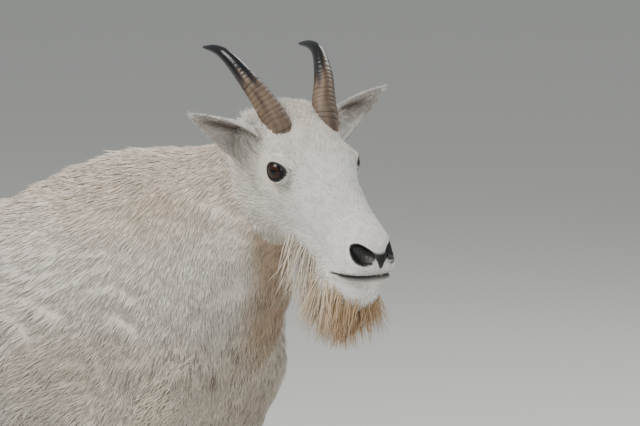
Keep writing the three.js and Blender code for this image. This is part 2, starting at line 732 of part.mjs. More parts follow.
// Back of the thighs, and the backs of the upper legs
const breechSpot = (side) => (u, v) => ({
  inside: vec(-320, side * 78, mix(700, 560, v)),
  toward: vec(-1, side * mix(-0.35, 0.85, u), 0),
  lie: vec(-0.2, side * 0.05, -1),
});
const legSpot = ({ side, lean }, x, top, bottom, slope) => (u, v) => {
  const z = mix(top, bottom, v);
  return {
    inside: vec(x + slope * (z - top) + lean * Math.max(0, 1 - z / standHeight), side * 101, z),
    toward: vec(-1, mix(-0.6, 0.6, u), 0),
    lie: vec(slope > 0.3 ? -0.6 : -0.12, 0, -1),
  };
};
const tailSpot = (u, v) => ({
  inside: vec(mix(-508, -522, v), 0, mix(766, 720, v)),
  toward: vec(Math.cos(2 * Math.PI * u), Math.sin(2 * Math.PI * u), 0.1),
  lie: vec(-0.05, 0.1 * Math.sin(2 * Math.PI * u), -1),
});

// Assembly

const coat = new THREE.MeshStandardMaterial({ color: "#e9e1d6", roughness: 0.95 });
const beardHair = new THREE.MeshStandardMaterial({ color: "#b98b55", roughness: 0.95 });
const earSkin = new THREE.MeshStandardMaterial({ color: "#cdbfae", roughness: 0.9 });
const hornSheath = new THREE.MeshStandardMaterial({ color: "#5a4a40", roughness: 0.45 });
const hoofHorn = new THREE.MeshStandardMaterial({ color: "#2a2522", roughness: 0.5 });
const eyeGloss = new THREE.MeshStandardMaterial({ color: "#1d0f08", roughness: 0.05 });

const goat = new THREE.Group();
function addNode(name, solid, material) {
  const mesh = new THREE.Mesh(geometryOf(largestOf(solid)), material);
  mesh.name = name;
  goat.add(mesh);
}

const trunkSolid = makeTrunk();
const headSkin = makeHeadSkin(0);
const headClear = makeHeadSkin(gap);
const neckClear = makeNeck(gap);
const sides = { right: -1, left: 1 };

const trunkLocks = [
  ...makeLocks(bodyField, 3, 4, 2, ridgeSpot(60, 262), ridgeHair),
  ...makeLocks(bodyField, 4, 2, 4, chestSpot, { length: 52, width: 34, lift: 0.1, steps: 3 }),
  ...makeLocks(bodyField, 5, 3, 2, breechSpot(-1), { length: 58, width: 36, lift: 0.08, steps: 3 }),
  ...makeLocks(bodyField, 6, 3, 2, breechSpot(1), { length: 58, width: 36, lift: 0.08, steps: 3 }),
];
// The top of each foreleg runs on into the trunk with the leg's own section
const shoulders = [feet.foreleg_left, feet.foreleg_right].map((leg) =>
  makeLeg(leg, shoulderHeight, legCutHeight - 10, 5));
const trunkBounds = keepAhead(
  keepBehind(joined([trunkSolid, ...shoulders, ...trunkLocks]), shifted(neckBase, -gap / 2)),
  { at: vec(0, 0, legCutHeight + gap / 2), normal: vec(0, 0, 1) });
addNode("torso", trunkBounds, coat);
const neckLocks = makeLocks(wholeField, 8, 2, 2, ridgeSpot(348, 402), { ...ridgeHair, length: 34 });
const neckSolid = joined([makeNeck(0), ...neckLocks]);
addNode("neck", keepBehind(
  keepAhead(neckSolid, shifted(neckBase, gap / 2)), shifted(headBase, -gap / 2)), coat);

let head = headSkin;
for (const side of [-1, 1]) head = head.add(makeLids(side));
for (const side of [-1, 1]) {
  head = head.subtract(ball(eyeCentre(side), eyeRadius + gap));
  head = head.subtract(makeNostril(side));
}
head = head.subtract(makeLipLine());
const beard = makeLocks(beardField, 7, 5, 5, beardSpot, { length: 40, width: 24, droop: 0, lift: 0.3, steps: 3 });
const jaw = joined([head, makeBeardCore(), ...beard]).intersect(jawBlock(-gap / 2));
const crest = makeLocks(wholeField, 11, 2, 5, crestSpot, { length: 26, width: 17, lift: 0.12 });
const hornSpace = makeHorn(-1, gap).add(makeHorn(1, gap)).subtract(makeHeadSkin(-1));
addNode("head", joined([head, ...crest]).subtract(jawBlock(gap / 2)).subtract(hornSpace), coat);
addNode("lower_jaw", jaw.subtract(neckClear), beardHair);

for (const [name, side] of Object.entries(sides)) {
  addNode("eye_" + name, ball(eyeCentre(side), eyeRadius), eyeGloss);
  addNode("horn_" + name, makeHorn(side).subtract(headClear), hornSheath);
  const ear = solidOf(closeCup(makeEar(side)));
  addNode("ear_" + name, ear.subtract(headClear).subtract(neckClear), earSkin);
}

const kneeHeight = { foreleg: 300, hindleg: 352 };
for (const [name, leg] of Object.entries(feet)) {
  const knee = kneeHeight[name.split("_")[0]];
  const rings = name.startsWith("fore") ? [9, 15] : [8, 17];
  const upper = makeLeg(leg, legCutHeight - gap / 2, knee + gap / 2, rings[0]);
  const lower = makeLeg(leg, knee - gap / 2, hoofHeight + gap, rings[1]);
  const spot = name.startsWith("fore")
    ? legSpot(leg, 268, 452, 350, 0)
    : legSpot(leg, -268, 456, 402, 1.2);
  const locks = makeLocks(bodyField, name.length + leg.side, 2, 2, spot,
    { length: 44, width: 26, lift: 0.08, steps: 3 });
  const below = { at: vec(0, 0, knee + gap / 2), normal: vec(0, 0, 1) };
  addNode(name + "_upper", keepAhead(joined([upper, ...locks]), below), coat);
  addNode(name + "_lower", lower, coat);
  const [footX, footY, footZ] = leaned(leg.stations, leg.side, leg.lean).at(-1);
  for (const [toe, inner] of [["outer", false], ["inner", true]]) {
    addNode(`hoof_${name}_${toe}`, makeToe(footX + 8, footY, leg.side, inner), hoofHorn);
    const clawSide = inner ? -leg.side : leg.side;
    const claw = makeDewclaw(vec(footX - 36, footY + clawSide * 12, footZ + 44), clawSide);
    addNode(`dewclaw_${name}_${toe}`, claw.subtract(lower), hoofHorn);
  }
}
const tailField = limb(tailStations);
const tailHair = makeLocks(tailField, 12, 2, 4, tailSpot, { length: 42, width: 20, lift: 0.1, steps: 3 });
addNode("tail", joined([makeTail(), ...tailHair]).subtract(trunkBounds), coat);

// The origin is under the middle of the goat's outline, on the ground
const box = new THREE.Box3().setFromObject(goat);
goat.position.set(-(box.min.x + box.max.x) / 2, -(box.min.y + box.max.y) / 2, 0);

export default goat;
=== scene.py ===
import math

import bpy
import bmesh
import numpy as np
from mathutils import Matrix, Vector, noise
from mathutils.bvhtree import BVHTree


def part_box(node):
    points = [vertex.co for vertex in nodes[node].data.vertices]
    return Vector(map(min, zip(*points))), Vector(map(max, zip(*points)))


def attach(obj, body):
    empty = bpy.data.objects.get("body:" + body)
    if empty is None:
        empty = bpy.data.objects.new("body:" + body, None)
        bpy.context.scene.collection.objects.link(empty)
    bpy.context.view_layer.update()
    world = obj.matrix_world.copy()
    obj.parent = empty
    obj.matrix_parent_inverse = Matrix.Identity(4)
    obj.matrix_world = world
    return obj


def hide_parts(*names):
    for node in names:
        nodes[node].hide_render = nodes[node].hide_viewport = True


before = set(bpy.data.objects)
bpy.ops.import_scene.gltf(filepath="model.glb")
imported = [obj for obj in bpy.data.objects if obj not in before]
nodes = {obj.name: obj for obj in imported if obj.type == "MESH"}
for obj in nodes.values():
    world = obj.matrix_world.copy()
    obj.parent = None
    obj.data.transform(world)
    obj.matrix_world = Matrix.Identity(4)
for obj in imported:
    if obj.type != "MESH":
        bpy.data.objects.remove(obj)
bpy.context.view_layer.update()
seeded = np.random.default_rng(432)
noise.seed_set(432)  # noise vectors differ from run to run without it
mm = 0.001


def say(text):
    print("goat:", text, flush=True)


# Values a user may want to change, one dictionary for each piece

skinSettings = {
    "cell": 4.5 * mm,         # grid spacing of the skin
    "blur": 5.2 * mm,         # how much small lumps are smoothed away
    "depth": 5.5 * mm,        # the coat's depth over the skin on the body
    "faceDepth": 2.2 * mm,    # the same on the face
    "muzzleDepth": -3.2 * mm,  # the same at the nose, where blurring draws it in
    "legDepth": 0.4 * mm,     # the same on the legs
    # heights where the legs' solids meet, each with how far and how strongly it is smoothed
    "joints": [(0.474, 0.045, 0.020), (0.352, 0.02, 0.008), (0.300, 0.02, 0.008)],
}
lidSettings = {"wide": 0.80, "high": 0.64, "rim": 1.6 * mm}
eyeSettings = {"iris": 0.66, "pupilWide": 0.40, "pupilHigh": 0.20, "outward": 4.5, "backward": 2.5}
hornSettings = {"rings": 17, "ringDepth": 0.75, "ringsUpTo": 0.58, "thickness": 21.0}
furSettings = {
    # a tuft's length and width in mm, its lift in radians, the spacing between roots, its sections
    "face": {"length": 9.5, "width": 1.3, "lift": 0.17, "spacing": 1.85, "steps": 2},
    "muzzle": {"length": 5.0, "width": 1.05, "lift": 0.18, "spacing": 1.6, "steps": 2},
    "neck": {"length": 21.0, "width": 2.2, "lift": 0.13, "spacing": 3.0, "steps": 2},
    "chest": {"length": 24.0, "width": 2.8, "lift": 0.12, "spacing": 3.8, "steps": 2},
    "back": {"length": 30.0, "width": 3.4, "lift": 0.10, "spacing": 4.7, "steps": 2},
    "legs": {"length": 16.0, "width": 2.6, "lift": 0.14, "spacing": 4.3, "steps": 2},
    "tail": {"length": 40.0, "width": 3.4, "lift": 0.20, "spacing": 3.8, "steps": 3},
    "ears": {"length": 6.5, "width": 1.1, "lift": 0.14, "spacing": 1.8, "steps": 2},
    "beard": {"shortest": 14.0, "longest": 78.0, "width": 1.6, "spacing": 3.55, "steps": 3},
}
colours = {
    "cream": "#efe8dd", "peach": "#ecd6bd", "face": "#f5f2ec", "forehead": "#e9dfd0",
    "shade": "#b9a48d", "streak": "#6e5a48", "throat": "#b39474", "beard": "#d6b184",
    "beardEdge": "#efe4d2", "beardDark": "#b08a5e", "earInside": "#8d7c6c", "nose": "#1a1717",
    "lip": "#5a534c", "lidRim": "#161210", "leg": "#e9ddca",
    "eyeball": "#140d0a", "iris": "#32190c", "irisRim": "#050404", "pupil": "#030303",
    "hornLow": "#7d6a57", "hornStreak": "#56443a", "hornWarm": "#6b4634", "hornTip": "#101116",
    "hornGrooveShade": "#1e1712", "hoofDark": "#1b1715", "hoofPale": "#3d342d",
    "floor": "#d9dad6", "sky": "#d3d6d6",
}
headAngles = {"Z": -26, "Y": 33, "X": 1.5}
headOnBody = np.array([0.515, -0.060, 0.921])  # the head's origin before the body was centred
hoofTop = 0.047  # no coat grows below this height
patchSize = 0.0028  # a tuft's place on the map
cameraSettings = {"azimuth": 30, "elevation": 8, "distance": 4.0, "lens": 180,
                  "rightward": 0.00625, "downward": 0.0555}


def linear(hexColour):
    parts = [int(hexColour[i:i + 2], 16) / 255 for i in (1, 3, 5)]
    return [c / 12.92 if c <= 0.04045 else ((c + 0.055) / 1.055) ** 2.4 for c in parts]


tone = {name: np.array(linear(value)) for name, value in colours.items()}

# The head's own frame: x from between the eyes to the nose, y to its left and z to the forehead

eyeCentres = {}
for sideName in ("right", "left"):
    low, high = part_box("eye_" + sideName)
    eyeCentres[sideName] = (np.array(low) + np.array(high)) / 2
turns = [Matrix.Rotation(math.radians(angle), 3, axis) for axis, angle in headAngles.items()]
headTurn = np.array(turns[0] @ turns[1] @ turns[2])
eyeLow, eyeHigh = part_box("eye_right")
eyeRadius = (eyeHigh[0] - eyeLow[0]) / 2
headOrigin = (eyeCentres["right"] + eyeCentres["left"]) / 2 - headTurn[:, 2] * 1.5 * mm


def toHead(points):
    return (points - headOrigin) @ headTurn / mm


def fromHead(points):
    return np.asarray(points, float) * mm @ headTurn.T + headOrigin


def alongHead(x, y, z):
    return headTurn @ np.array([x, y, z], float)


for sideName, side in (("right", -1), ("left", 1)):
    shift = alongHead(-eyeSettings["backward"], side * eyeSettings["outward"], 0)
    eyeCentres[sideName] = eyeCentres[sideName] + shift * mm


def step(values, start, end):
    t = np.clip((values - start) / (end - start), 0, 1)
    return t * t * (3 - 2 * t)


def unit(vectors):
    return vectors / np.maximum(np.linalg.norm(vectors, axis=-1, keepdims=True), 1e-9)


def makeObject(name, vertices, faces):
    mesh = bpy.data.meshes.new(name)
    mesh.from_pydata(np.asarray(vertices).tolist(), [], np.asarray(faces).tolist())
    mesh.update()
    made = bpy.data.objects.new(name, mesh)
    bpy.context.scene.collection.objects.link(made)
    return made


def pointsOf(thing):
    found = np.empty(len(thing.data.vertices) * 3)
    thing.data.vertices.foreach_get("co", found)
    return found.reshape(-1, 3)


def normalsOf(thing):
    found = np.empty(len(thing.data.vertices) * 3)
    thing.data.vertex_normals.foreach_get("vector", found)
    return found.reshape(-1, 3)


def setPoints(thing, points):
    thing.data.vertices.foreach_set("co", points.ravel())
    thing.data.update()


def paint(thing, name, values):
    layer = thing.data.color_attributes.new(name, "FLOAT_COLOR", "POINT")
    full = np.ones((len(values), 4))
    full[:, :3] = values
    layer.data.foreach_set("color", full.ravel())


def smoothShaded(thing):
    for polygon in thing.data.polygons:
        polygon.use_smooth = True


# Hands a mesh to a change made in edit form, and puts the result back
def reworked(thing, change):
    work = bmesh.new()
    work.from_mesh(thing.data)
    change(work)
    work.to_mesh(thing.data)
    work.free()


# A free copy of one of the solids, with its doubled corners merged
def copyOfNode(nodeName, newName):
    made = nodes[nodeName].copy()
    made.data = nodes[nodeName].data.copy()
    made.name = newName
    bpy.context.scene.collection.objects.link(made)
    made.parent = None
    reworked(made, lambda work: bmesh.ops.remove_doubles(work, verts=work.verts, dist=1e-6))
    return made


# Skin: the flesh solids are filled into a grid, blurred, and meshed a coat's depth further in

fleshNames = [n for n in nodes if n in ("head", "lower_jaw", "neck", "torso", "tail")
              or n.startswith(("foreleg", "hindleg"))]
earNames = ["ear_left", "ear_right"]


def triangleSoup(names):
    points, faces, owners = [], [], []
    for number, name in enumerate(names):
        mesh = nodes[name].data
        mesh.calc_loop_triangles()
        start = sum(len(p) for p in points)
        points.append(np.array([v.co[:] for v in mesh.vertices]))
        triangles = np.array([t.vertices[:] for t in mesh.loop_triangles])
        faces.append(triangles + start)
        owners += [number] * len(triangles)
    return np.concatenate(points), np.concatenate(faces), np.array(owners)


fleshPoints, fleshFaces, fleshOwners = triangleSoup(fleshNames)
fleshTree = BVHTree.FromPolygons(fleshPoints.tolist(), fleshFaces.tolist())
say("flesh solids read")


def fillGrid(cell):
    low = fleshPoints.min(0) - 6 * cell
    size = np.ceil((fleshPoints.max(0) + 6 * cell - low) / cell).astype(int)
    filled = np.zeros(size, np.float32)
    across = Vector((0, 1, 0))
    yValues = low[1] + cell * np.arange(size[1])
    for i in range(size[0]):
        x = low[0] + cell * i + 1.3e-5
        for k in range(size[2]):
            z = low[2] + cell * k + 1.7e-5
            at = Vector((x, low[1], z))
            hits = []
            while True:
                hit, normal, index, distance = fleshTree.ray_cast(at, across)
                if hit is None:
                    break
                hits.append((hit.y, normal.y))
                at = Vector((x, hit.y + 2e-5, z))
            depth = 0
            for n, (y, facing) in enumerate(hits):
                if facing < 0:
                    depth += 1
                    start = y if depth == 1 else start
                else:
                    depth -= 1
                    if depth == 0:
                        filled[i, (yValues >= start) & (yValues <= y), k] = 1
                    depth = max(depth, 0)
    rulers = [low[n] + cell * np.arange(size[n]) for n in range(3)]
    places = np.stack(np.meshgrid(*rulers, indexing="ij"), -1)
    for centre in eyeCentres.values():
        filled[np.linalg.norm(places - centre, axis=-1) < eyeRadius + 1.5 * mm] = 1
    return low, filled


def blurred(grid, cells):
    reach = int(3 * cells) + 1
    weights = np.exp(-0.5 * (np.arange(-reach, reach + 1) / cells) ** 2)
    weights /= weights.sum()
    for axis in range(3):
        total = np.zeros_like(grid)
        for offset, weight in zip(range(-reach, reach + 1), weights):
            total += np.float32(weight) * np.roll(grid, offset, axis)
        grid = total
    return grid


# A quad mesh where a field crosses zero: one vertex for each cell the surface runs through
def surfaceMesh(field, low, cell):
    inside = field > 0
    cells = tuple(n - 1 for n in field.shape)
    total = np.zeros(cells + (3,), np.float32)
    count = np.zeros(cells, np.float32)
    crossings = []
    for axis in range(3):
        near = [slice(None)] * 3
        far = [slice(None)] * 3
        near[axis], far[axis] = slice(0, -1), slice(1, None)
        a, b = field[tuple(near)], field[tuple(far)]
        crossed = np.argwhere(inside[tuple(near)] != inside[tuple(far)])
        va = a[tuple(crossed.T)]
        vb = b[tuple(crossed.T)]
        place = crossed.astype(np.float32)
        place[:, axis] += va / (va - vb)
        others = [n for n in range(3) if n != axis]
        ok = np.all(crossed[:, others] > 0, axis=1)
        crossed, place, va = crossed[ok], place[ok], va[ok]
        around = []
        for da, db in ((0, 0), (-1, 0), (-1, -1), (0, -1)):
            cellAt = crossed.copy()
            cellAt[:, others[0]] += da
            cellAt[:, others[1]] += db
            around.append(cellAt)
            np.add.at(total, tuple(cellAt.T), place)
            np.add.at(count, tuple(cellAt.T), 1)
        crossings.append((axis, around, va > 0))
    used = np.argwhere(count > 0)
    number = np.full(cells, -1, np.int64)
    number[tuple(used.T)] = np.arange(len(used))
    vertices = total[tuple(used.T)] / count[tuple(used.T)][:, None]
    quads = []
    for axis, around, leaving in crossings:
        quad = np.stack([number[tuple(c.T)] for c in around], 1)
        flip = leaving if axis == 1 else ~leaving
        quad[flip] = quad[flip][:, ::-1]
        quads.append(quad)
    return low + vertices * cell, np.concatenate(quads)


def phi(x):
    return 0.5 * (1 + math.erf(x / math.sqrt(2)))


cell, blur = skinSettings["cell"], skinSettings["blur"]
low, filled = fillGrid(cell)
say("grid filled %s" % (filled.shape,))
xs, ys, zs = [low[n] + cell * np.arange(filled.shape[n]) for n in range(3)]


# Blurs the grid along its height only, where the legs leave the trunk and where they are parted
def meltJoints(grid, joints):
    for height, reach, spread in joints:
        rows = np.nonzero(np.abs(zs - height) < reach * 2.2)[0]
        around = np.arange(-int(3 * spread / cell), int(3 * spread / cell) + 1)
        weights = np.exp(-0.5 * (around * cell / spread) ** 2)
        weights /= weights.sum()
        smooth = sum(w * grid[:, :, rows + o] for w, o in zip(weights, around))
        share = np.exp(-((zs[rows] - height) / reach) ** 2).astype(np.float32)
        grid[:, :, rows] += (smooth - grid[:, :, rows]) * share
    return grid


filled = meltJoints(filled, skinSettings["joints"])
field = blurred(filled, blur / cell)
faceCentre = fromHead([[60, 0, -20]])[0]
toFace = np.sqrt((xs[:, None, None] - faceCentre[0]) ** 2 + (ys[None, :, None] - faceCentre[1]) ** 2
                 + (zs[None, None, :] - faceCentre[2]) ** 2)
faceLevel = phi(skinSettings["faceDepth"] / blur)
bodyLevel = phi(skinSettings["depth"] / blur)
tipLevel = phi(skinSettings["muzzleDepth"] / blur)
level = faceLevel + (bodyLevel - faceLevel) * step(toFace, 0.115, 0.19)
ahead = ((xs[:, None, None] - headOrigin[0]) * headTurn[0, 0]
         + (ys[None, :, None] - headOrigin[1]) * headTurn[1, 0]
         + (zs[None, None, :] - headOrigin[2]) * headTurn[2, 0]) / mm
level += (phi(skinSettings["legDepth"] / blur) - level) * step(zs, 0.52, 0.42)[None, None, :]
level += (tipLevel - level) * step(ahead, 85, 140)
field -= level.astype(np.float32)
skinPoints, skinQuads = surfaceMesh(field, low, cell)
del field, filled, toFace, ahead
skin = makeObject("skin", skinPoints, skinQuads)
say("skin meshed: %d faces" % len(skinQuads))


# Keeps the largest piece of a mesh
def keepLargest(work):
    work.verts.ensure_lookup_table()
    group = np.full(len(work.verts), -1)
    sizes = []
    for start in work.verts:
        if group[start.index] >= 0:
            continue
        label, stack, size = len(sizes), [start], 0
        group[start.index] = label
        while stack:
            vertex = stack.pop()
            size += 1
            for edge in vertex.link_edges:
                other = edge.other_vert(vertex)
                if group[other.index] < 0:
                    group[other.index] = label
                    stack.append(other)
        sizes.append(size)
    best = int(np.argmax(sizes))
    bmesh.ops.delete(work, geom=[v for v in work.verts if group[v.index] != best], context="VERTS")
    bmesh.ops.recalc_face_normals(work, faces=work.faces)


reworked(skin, keepLargest)


# Divides the faces for which a test of their middles holds
def refine(work, test):
    middles = np.array([f.calc_center_median()[:] for f in work.faces])
    chosen = test(middles)
    work.faces.ensure_lookup_table()
    edges = {e for i in np.nonzero(chosen)[0] for e in work.faces[i].edges}
    bmesh.ops.subdivide_edges(work, edges=list(edges), cuts=1, use_grid_fill=True)


def nearEyes(points, reach):
    return np.minimum(np.linalg.norm(points - eyeCentres["right"], axis=1),
                      np.linalg.norm(points - eyeCentres["left"], axis=1)) < reach


def onMuzzle(points, fromX):
    h = toHead(points)
    return ((h[:, 0] > fromX) & (h[:, 0] < 200) & (np.abs(h[:, 1]) < 60)
            & (h[:, 2] > -78) & (h[:, 2] < 45))


reworked(skin, lambda work: refine(work, lambda p: nearEyes(p, 0.034) | onMuzzle(p, 118)))
reworked(skin, lambda work: refine(work, lambda p: nearEyes(p, 0.026) | onMuzzle(p, 126)))
say("face refined: %d vertices" % len(skin.data.vertices))

# The gaze of each eye, and the lids' opening around it
gaze = {"right": unit(alongHead(0.27, -0.95, 0.10)), "left": unit(alongHead(0.27, 0.95, 0.10))}
eyeLine = unit(np.array([headTurn[0, 0], headTurn[1, 0], -0.05]))
slant = {name: unit(eyeLine - g * (eyeLine @ g)) for name, g in gaze.items()}
upward = {name: unit(np.cross(g, slant[name])) for name, g in gaze.items()}


def eyeOpening(points):
    nearest = np.full(len(points), 9.0)
    for name, centre in eyeCentres.items():
        ray = unit(points - centre)
        ahead = ray @ gaze[name]
        q = np.sqrt((ray @ slant[name] / lidSettings["wide"]) ** 2
                    + (ray @ upward[name] / lidSettings["high"]) ** 2)
        q = np.where(ahead > 0, q, 9)
        q = np.where(np.linalg.norm(points - centre, axis=1) < 0.032, q, 9)
        nearest = np.minimum(nearest, q)
    return nearest


nostrils = []
for side in (-1, 1):
    along = unit(alongHead(0.78, -side * 0.62, -0.05))
    high = alongHead(0.1, side * 0.25, 0.95)
    high = unit(high - along * (high @ along))
    nostrils.append((fromHead([[158, side * 17.5, -2.5]])[0], along, np.cross(along, high), high))


def nostrilDepth(points):
    nearest = np.full(len(points), 9.0)
    for centre, along, thin, high in nostrils:
        d = (points - centre) / mm
        q = np.sqrt((d @ along / 17) ** 2 + (d @ thin / 34) ** 2 + (d @ high / 6.6) ** 2)
        nearest = np.minimum(nearest, q)
    return nearest


mouthLine = np.array([[215, 0.5], [176, -27], [150, -44.5], [122, -64]])


def mouthDistance(points):
    h = toHead(points)
    nearest = np.full(len(h), 99.0)
    for (xa, za), (xb, zb) in zip(mouthLine[:-1], mouthLine[1:]):
        run = np.array([xb - xa, zb - za])
        t = np.clip(((h[:, 0] - xa) * run[0] + (h[:, 2] - za) * run[1]) / (run @ run), 0, 1)
        nearest = np.minimum(nearest, np.hypot(h[:, 0] - xa - t * run[0], h[:, 2] - za - t * run[1]))
    return nearest


# How far a place belongs to the bare dark skin of the nostrils and the band between them; inside the
# nostril hollows the dark paint is also painted shade
def bareNose(points):
    h = toHead(points)
    holes = step(nostrilDepth(points), 1.2, 1.02)
    wide = 2.0 + 6.5 * step(h[:, 2], -13, 3)
    band = (step(np.abs(h[:, 1]), wide + 1.5, wide - 0.5) * step(h[:, 0], 150, 158)
            * step(h[:, 2], 6, 2) * step(h[:, 2], -16, -12))
    return np.maximum(holes, band)


# Masks are worked out before the hollows are pressed in, so that they keep their outlines
points = pointsOf(skin)
normals = normalsOf(skin)
noseMask = bareNose(points)
lipDistance = mouthDistance(points)
headX = toHead(points)[:, 0]
# The mouth's line is painted as dark as the nose, with a darker band along it: the lips' own dark skin, and
# painted shade in the crease
onLips = step(headX, 116, 128)
lipMask = np.exp(-(lipDistance / (1.7 + 1.8 * step(headX, 135, 165))) ** 2) * onLips
lipShade = np.exp(-((lipDistance - 3) / 5) ** 2) * step(headX, 128, 150)
hollow = np.clip(1 - nostrilDepth(points) ** 2, 0, 1) ** 0.6
lidMask = np.zeros(len(points))

# Sculpts the lids, the nostrils and the line of the mouth
for name, centre in eyeCentres.items():
    offset = points - centre
    far = np.linalg.norm(offset, axis=1)
    ray = offset / far[:, None]
    q = eyeOpening(points)
    rim = eyeRadius + lidSettings["rim"]
    near = (far < 0.034) & (ray @ gaze[name] > 0)
    lid = np.maximum(rim + 0.7 * mm * np.exp(-((q - 1.12) / 0.1) ** 2), eyeRadius + 0.9 * mm)
    fade = step(q, 2.3, 1.25)
    wanted = np.where(q < 1, eyeRadius - 3.5 * mm, far + (lid - far) * fade)
    points[near] = centre + ray[near] * wanted[near][:, None]
    lidMask[near] = step(q[near], 1.24, 1.12)
points -= normals * (9 * mm * hollow)[:, None]
points -= normals * (3.4 * mm * np.exp(-(lipDistance / 1.5) ** 2) * onLips)[:, None]
points += normals * (1.2 * mm * np.exp(-((lipDistance - 4.5) / 2.2) ** 2) * onLips)[:, None]
setPoints(skin, points)
smoothShaded(skin)
say("lids, nostrils and lips shaped")

# Regions, lie of the coat, and markings with painted shade, all worked out from places on the body

bodyShift = headOrigin - headOnBody


def regionsOf(points):
    owners = np.empty(len(points), int)
    for i, p in enumerate(points):
        owners[i] = fleshOwners[fleshTree.find_nearest(Vector(p))[2]]
    names = np.array(fleshNames)[owners]
    h = toHead(points)
    region = np.where(names == "head", "face", "back").astype(object)
    region[names == "neck"] = "neck"
    region[names == "tail"] = "tail"
    region[names == "lower_jaw"] = "face"
    body = points - bodyShift
    legs = np.array([n.startswith(("foreleg", "hindleg")) for n in names])
    region[legs | ((body[:, 2] < 0.50) & (names == "torso"))] = "legs"
    region[(names == "torso") & (body[:, 0] > 0.16) & (region == "back")] = "chest"
    onFace = (region == "face") & (h[:, 0] > 112)
    region[onFace] = "muzzle"
    return region, h, body


# A tuft's size, which runs smoothly from the back over the chest to the neck
def settingAt(key, region, body):
    values = np.array([furSettings[r][key] for r in region], float)
    onBody = (region == "back") | (region == "chest") | (region == "neck")
    share = step(body[:, 0], 0.10, 0.34)
    back, neck = furSettings["back"][key], furSettings["neck"][key]
    legTop = step(body[:, 2], 0.60, 0.50)
    smooth = back + (neck - back) * share
    smooth += (furSettings["legs"][key] - smooth) * legTop
    return np.where(onBody, smooth, values)


def lieOf(points, normals, region, h, body):
    down = np.array([0.0, 0, -1])
    high = step(body[:, 2], 0.76, 0.92)[:, None]
    front = step(body[:, 0], 0.12, 0.36)[:, None]
    under = step(h[:, 2], -60, -140)[:, None]
    backLie = np.array([-0.85, 0.0, -0.55]) * (1 - high) + np.array([-1.0, 0, -0.06]) * high
    neckLie = np.array([-0.8, 0.1, -0.6]) * (1 - under) + np.array([-0.3, 0.05, -1]) * under
    lie = backLie + (neckLie - backLie) * front
    legTop = step(body[:, 2], 0.62, 0.48)[:, None]
    lie = lie + (np.array([-0.18, 0, -1]) - lie) * legTop
    isLeg = region == "legs"
    lie[isLeg] = [-0.18, 0, -1]
    lie[region == "tail"] = [-0.2, 0, -1]
    isFace = (region == "face") | (region == "muzzle")
    side = np.sign(h[:, 1])
    back = np.stack([-np.ones(len(h)), 0.35 * side * step(np.abs(h[:, 1]), 4, 30),
                     0.5 * step(h[:, 2], 10, 40) - 0.35 * step(h[:, 2], -10, -50)], 1)
    fromEye = np.stack([h[:, 0] + 6, np.zeros(len(h)), h[:, 2] - 2], 1)
    nearEye = np.exp(-(np.linalg.norm(fromEye, axis=1) / 26) ** 2) * (np.abs(h[:, 1]) > 30)
    back = unit(back) + unit(fromEye) * nearEye[:, None] * 1.1
    crest = step(h[:, 0], -34, -62) * step(h[:, 2], 10, 30)
    back = back + np.stack([-0.3 * crest, 0 * crest, 0.5 * crest], 1)
    faceLie = unit(back) @ headTurn.T
    for side, (root, tip) in earAxes.items():
        byEar = step(np.linalg.norm(points - (root + 0.12 * (tip - root)), axis=1), 0.042, 0.022)
        faceLie = faceLie * (1 - byEar[:, None]) + unit(tip - root) * byEar[:, None]
    droop = step(h[:, 2], -52, -84)
    faceLie = faceLie * (1 - 0.75 * droop[:, None]) + down * (0.9 * droop)[:, None]
    lie[isFace] = faceLie[isFace]
    swirl = np.array([noise.noise_vector(Vector(p) * 38)[:] for p in points])
    wave = np.array([noise.noise_vector(Vector(p) * 13 + Vector((7, 3, 1)))[:] for p in points])
    amount = np.where(isFace, 0.16, np.where(isLeg, 0.18, 0.24))[:, None]
    lie = unit(lie) + swirl * amount + wave * amount * 0.8
    lie -= normals * np.sum(lie * normals, 1, keepdims=True)
    return unit(lie)


def mixed(base, other, amount):
    return base + (other - base) * np.clip(amount, 0, 1)[:, None]


def noiseAt(points, scale, shift=0.0):
    return np.array([noise.noise(Vector((p[0] * scale[0] + shift, p[1] * scale[1], p[2] * scale[2])))
                     for p in points])


chestEdge = np.array([[480, 395], [600, 413], [655, 415], [680, 425], [760, 444], [860, 470]])


